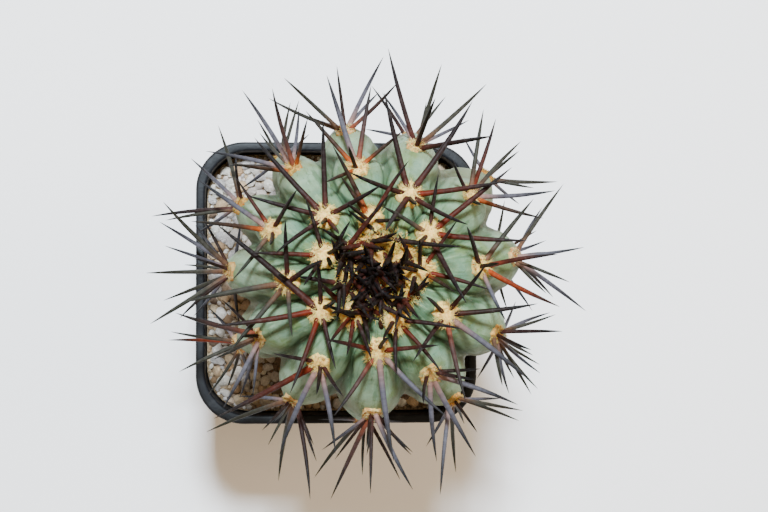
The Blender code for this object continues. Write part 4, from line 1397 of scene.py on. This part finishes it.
def make_spines(areoles):
    """Every spine of the plant, with extra short ones over the growing point."""
    draw = random.Random(SEED)
    sway = random.Random(SEED + 4)
    tints = {letter: [linear(tone) for tone in tones] for letter, tones in TINTS.items()}
    rods = Rods(SPINE_SIDES, SPINE_PROFILE, SPINE_ROOT, SPINE_BEND)
    for areole in areoles:
        for direction, length, look in spines_of(areole, draw):
            flat = direction - areole.normal * direction.dot(areole.normal)
            base = areole.place + flat * SPINE_RING + areole.normal * PAD_RISE * SPINE_FOOT
            direction = lift_clear(base, direction, length)
            rods.add(base, direction, length, spine_radius(length, areole.angle), tints[look],
                     sway.uniform(-SPINE_SWAY, SPINE_SWAY))
    for look, (base, direction, length) in zip(CROWN_LOOKS, crown_spines()):
        rods.add(base, direction, length, spine_radius(max(length, CROWN_GIRTH)), tints[look],
                 sway.uniform(-SPINE_SWAY, SPINE_SWAY))
    for k in range(FILLERS):
        turn = math.tau * (k + sway.uniform(-FILLER_JITTER, FILLER_JITTER)) * FILLER_TURN
        reach = FILLER_SPREAD * math.sqrt((k + 0.5) / FILLERS)
        base = crown_point(FILLER_MIDDLE[0] + reach * math.cos(turn),
                           FILLER_MIDDLE[1] + reach * math.sin(turn))
        heading = math.degrees(turn) + 180 + sway.gauss(0, FILLER_HEADINGS)
        lean = math.radians(sway.uniform(*FILLER_LEAN))
        direction = heading_vector(heading) * math.sin(lean)
        direction.z = math.cos(lean)
        rods.add(base, direction, sway.uniform(*FILLER_LENGTH), spine_radius(FILLER_GIRTH),
                 tints[sway.choice(FILLER_LOOKS)], sway.uniform(-FILLER_SWAY, FILLER_SWAY))
    dress(rods.make("spines"), "cactus", spine_finish())


# Stage

def make_floor():
    """A plain pale floor at the pot's underside."""
    low, high = -FLOOR_REACH, FLOOR_REACH
    corners = ((low, low, 0), (high, low, 0), (high, high, 0), (low, high, 0))
    floor = mesh_object("floor", corners, [(0, 1, 2, 3)])
    floor.data.materials.append(floor_finish())


def aim(thing, place, target, up):
    """Place a camera or light and turn it to its target."""
    back = (place - target).normalized()
    right = up.cross(back).normalized()
    over = back.cross(right)
    turn = Matrix((right, over, back)).transposed()
    thing.matrix_world = Matrix.Translation(place) @ turn.to_4x4()


def add_light(name, place, size, watts, colour):
    """One square light that is aimed at the plant's middle."""
    lamp = bpy.data.lights.new(name, "AREA")
    lamp.shape = "SQUARE"
    lamp.size = size
    lamp.energy = watts
    lamp.color = colour
    middle = Vector((PLANT_X, PLANT_Y, EQUATOR_HEIGHT))
    aim(add_object(name, lamp), Vector(place), middle, Vector((0, 1, 0.001)))


def make_stage():
    """Floor, surround, lights and the camera at the photograph's angle."""
    make_floor()
    world = bpy.data.worlds.new("studio")
    world.use_nodes = True
    surround = world.node_tree.nodes["Background"].inputs
    surround["Color"].default_value = SURROUND
    surround["Strength"].default_value = SURROUND_STRENGTH
    bpy.context.scene.world = world
    for name, (place, size, watts, colour) in LIGHTS.items():
        add_light(name, place, size, watts, colour)
    lens = bpy.data.cameras.new("camera")
    lens.lens = CAMERA_LENS
    lens.sensor_width = CAMERA_SENSOR
    camera = add_object("camera", lens)
    aim(camera, CAMERA_AT, CAMERA_AIM, Vector((0, 1, 0)))
    bpy.context.scene.camera = camera


def main():
    """Build every piece, then the stage."""
    areoles = list_areoles()
    make_pot()
    make_soil()
    make_grit()
    make_stem(areoles)
    make_wool(areoles)
    make_crown_wool()
    make_spines(areoles)
    make_stage()


main()

bpy.context.view_layer.update()
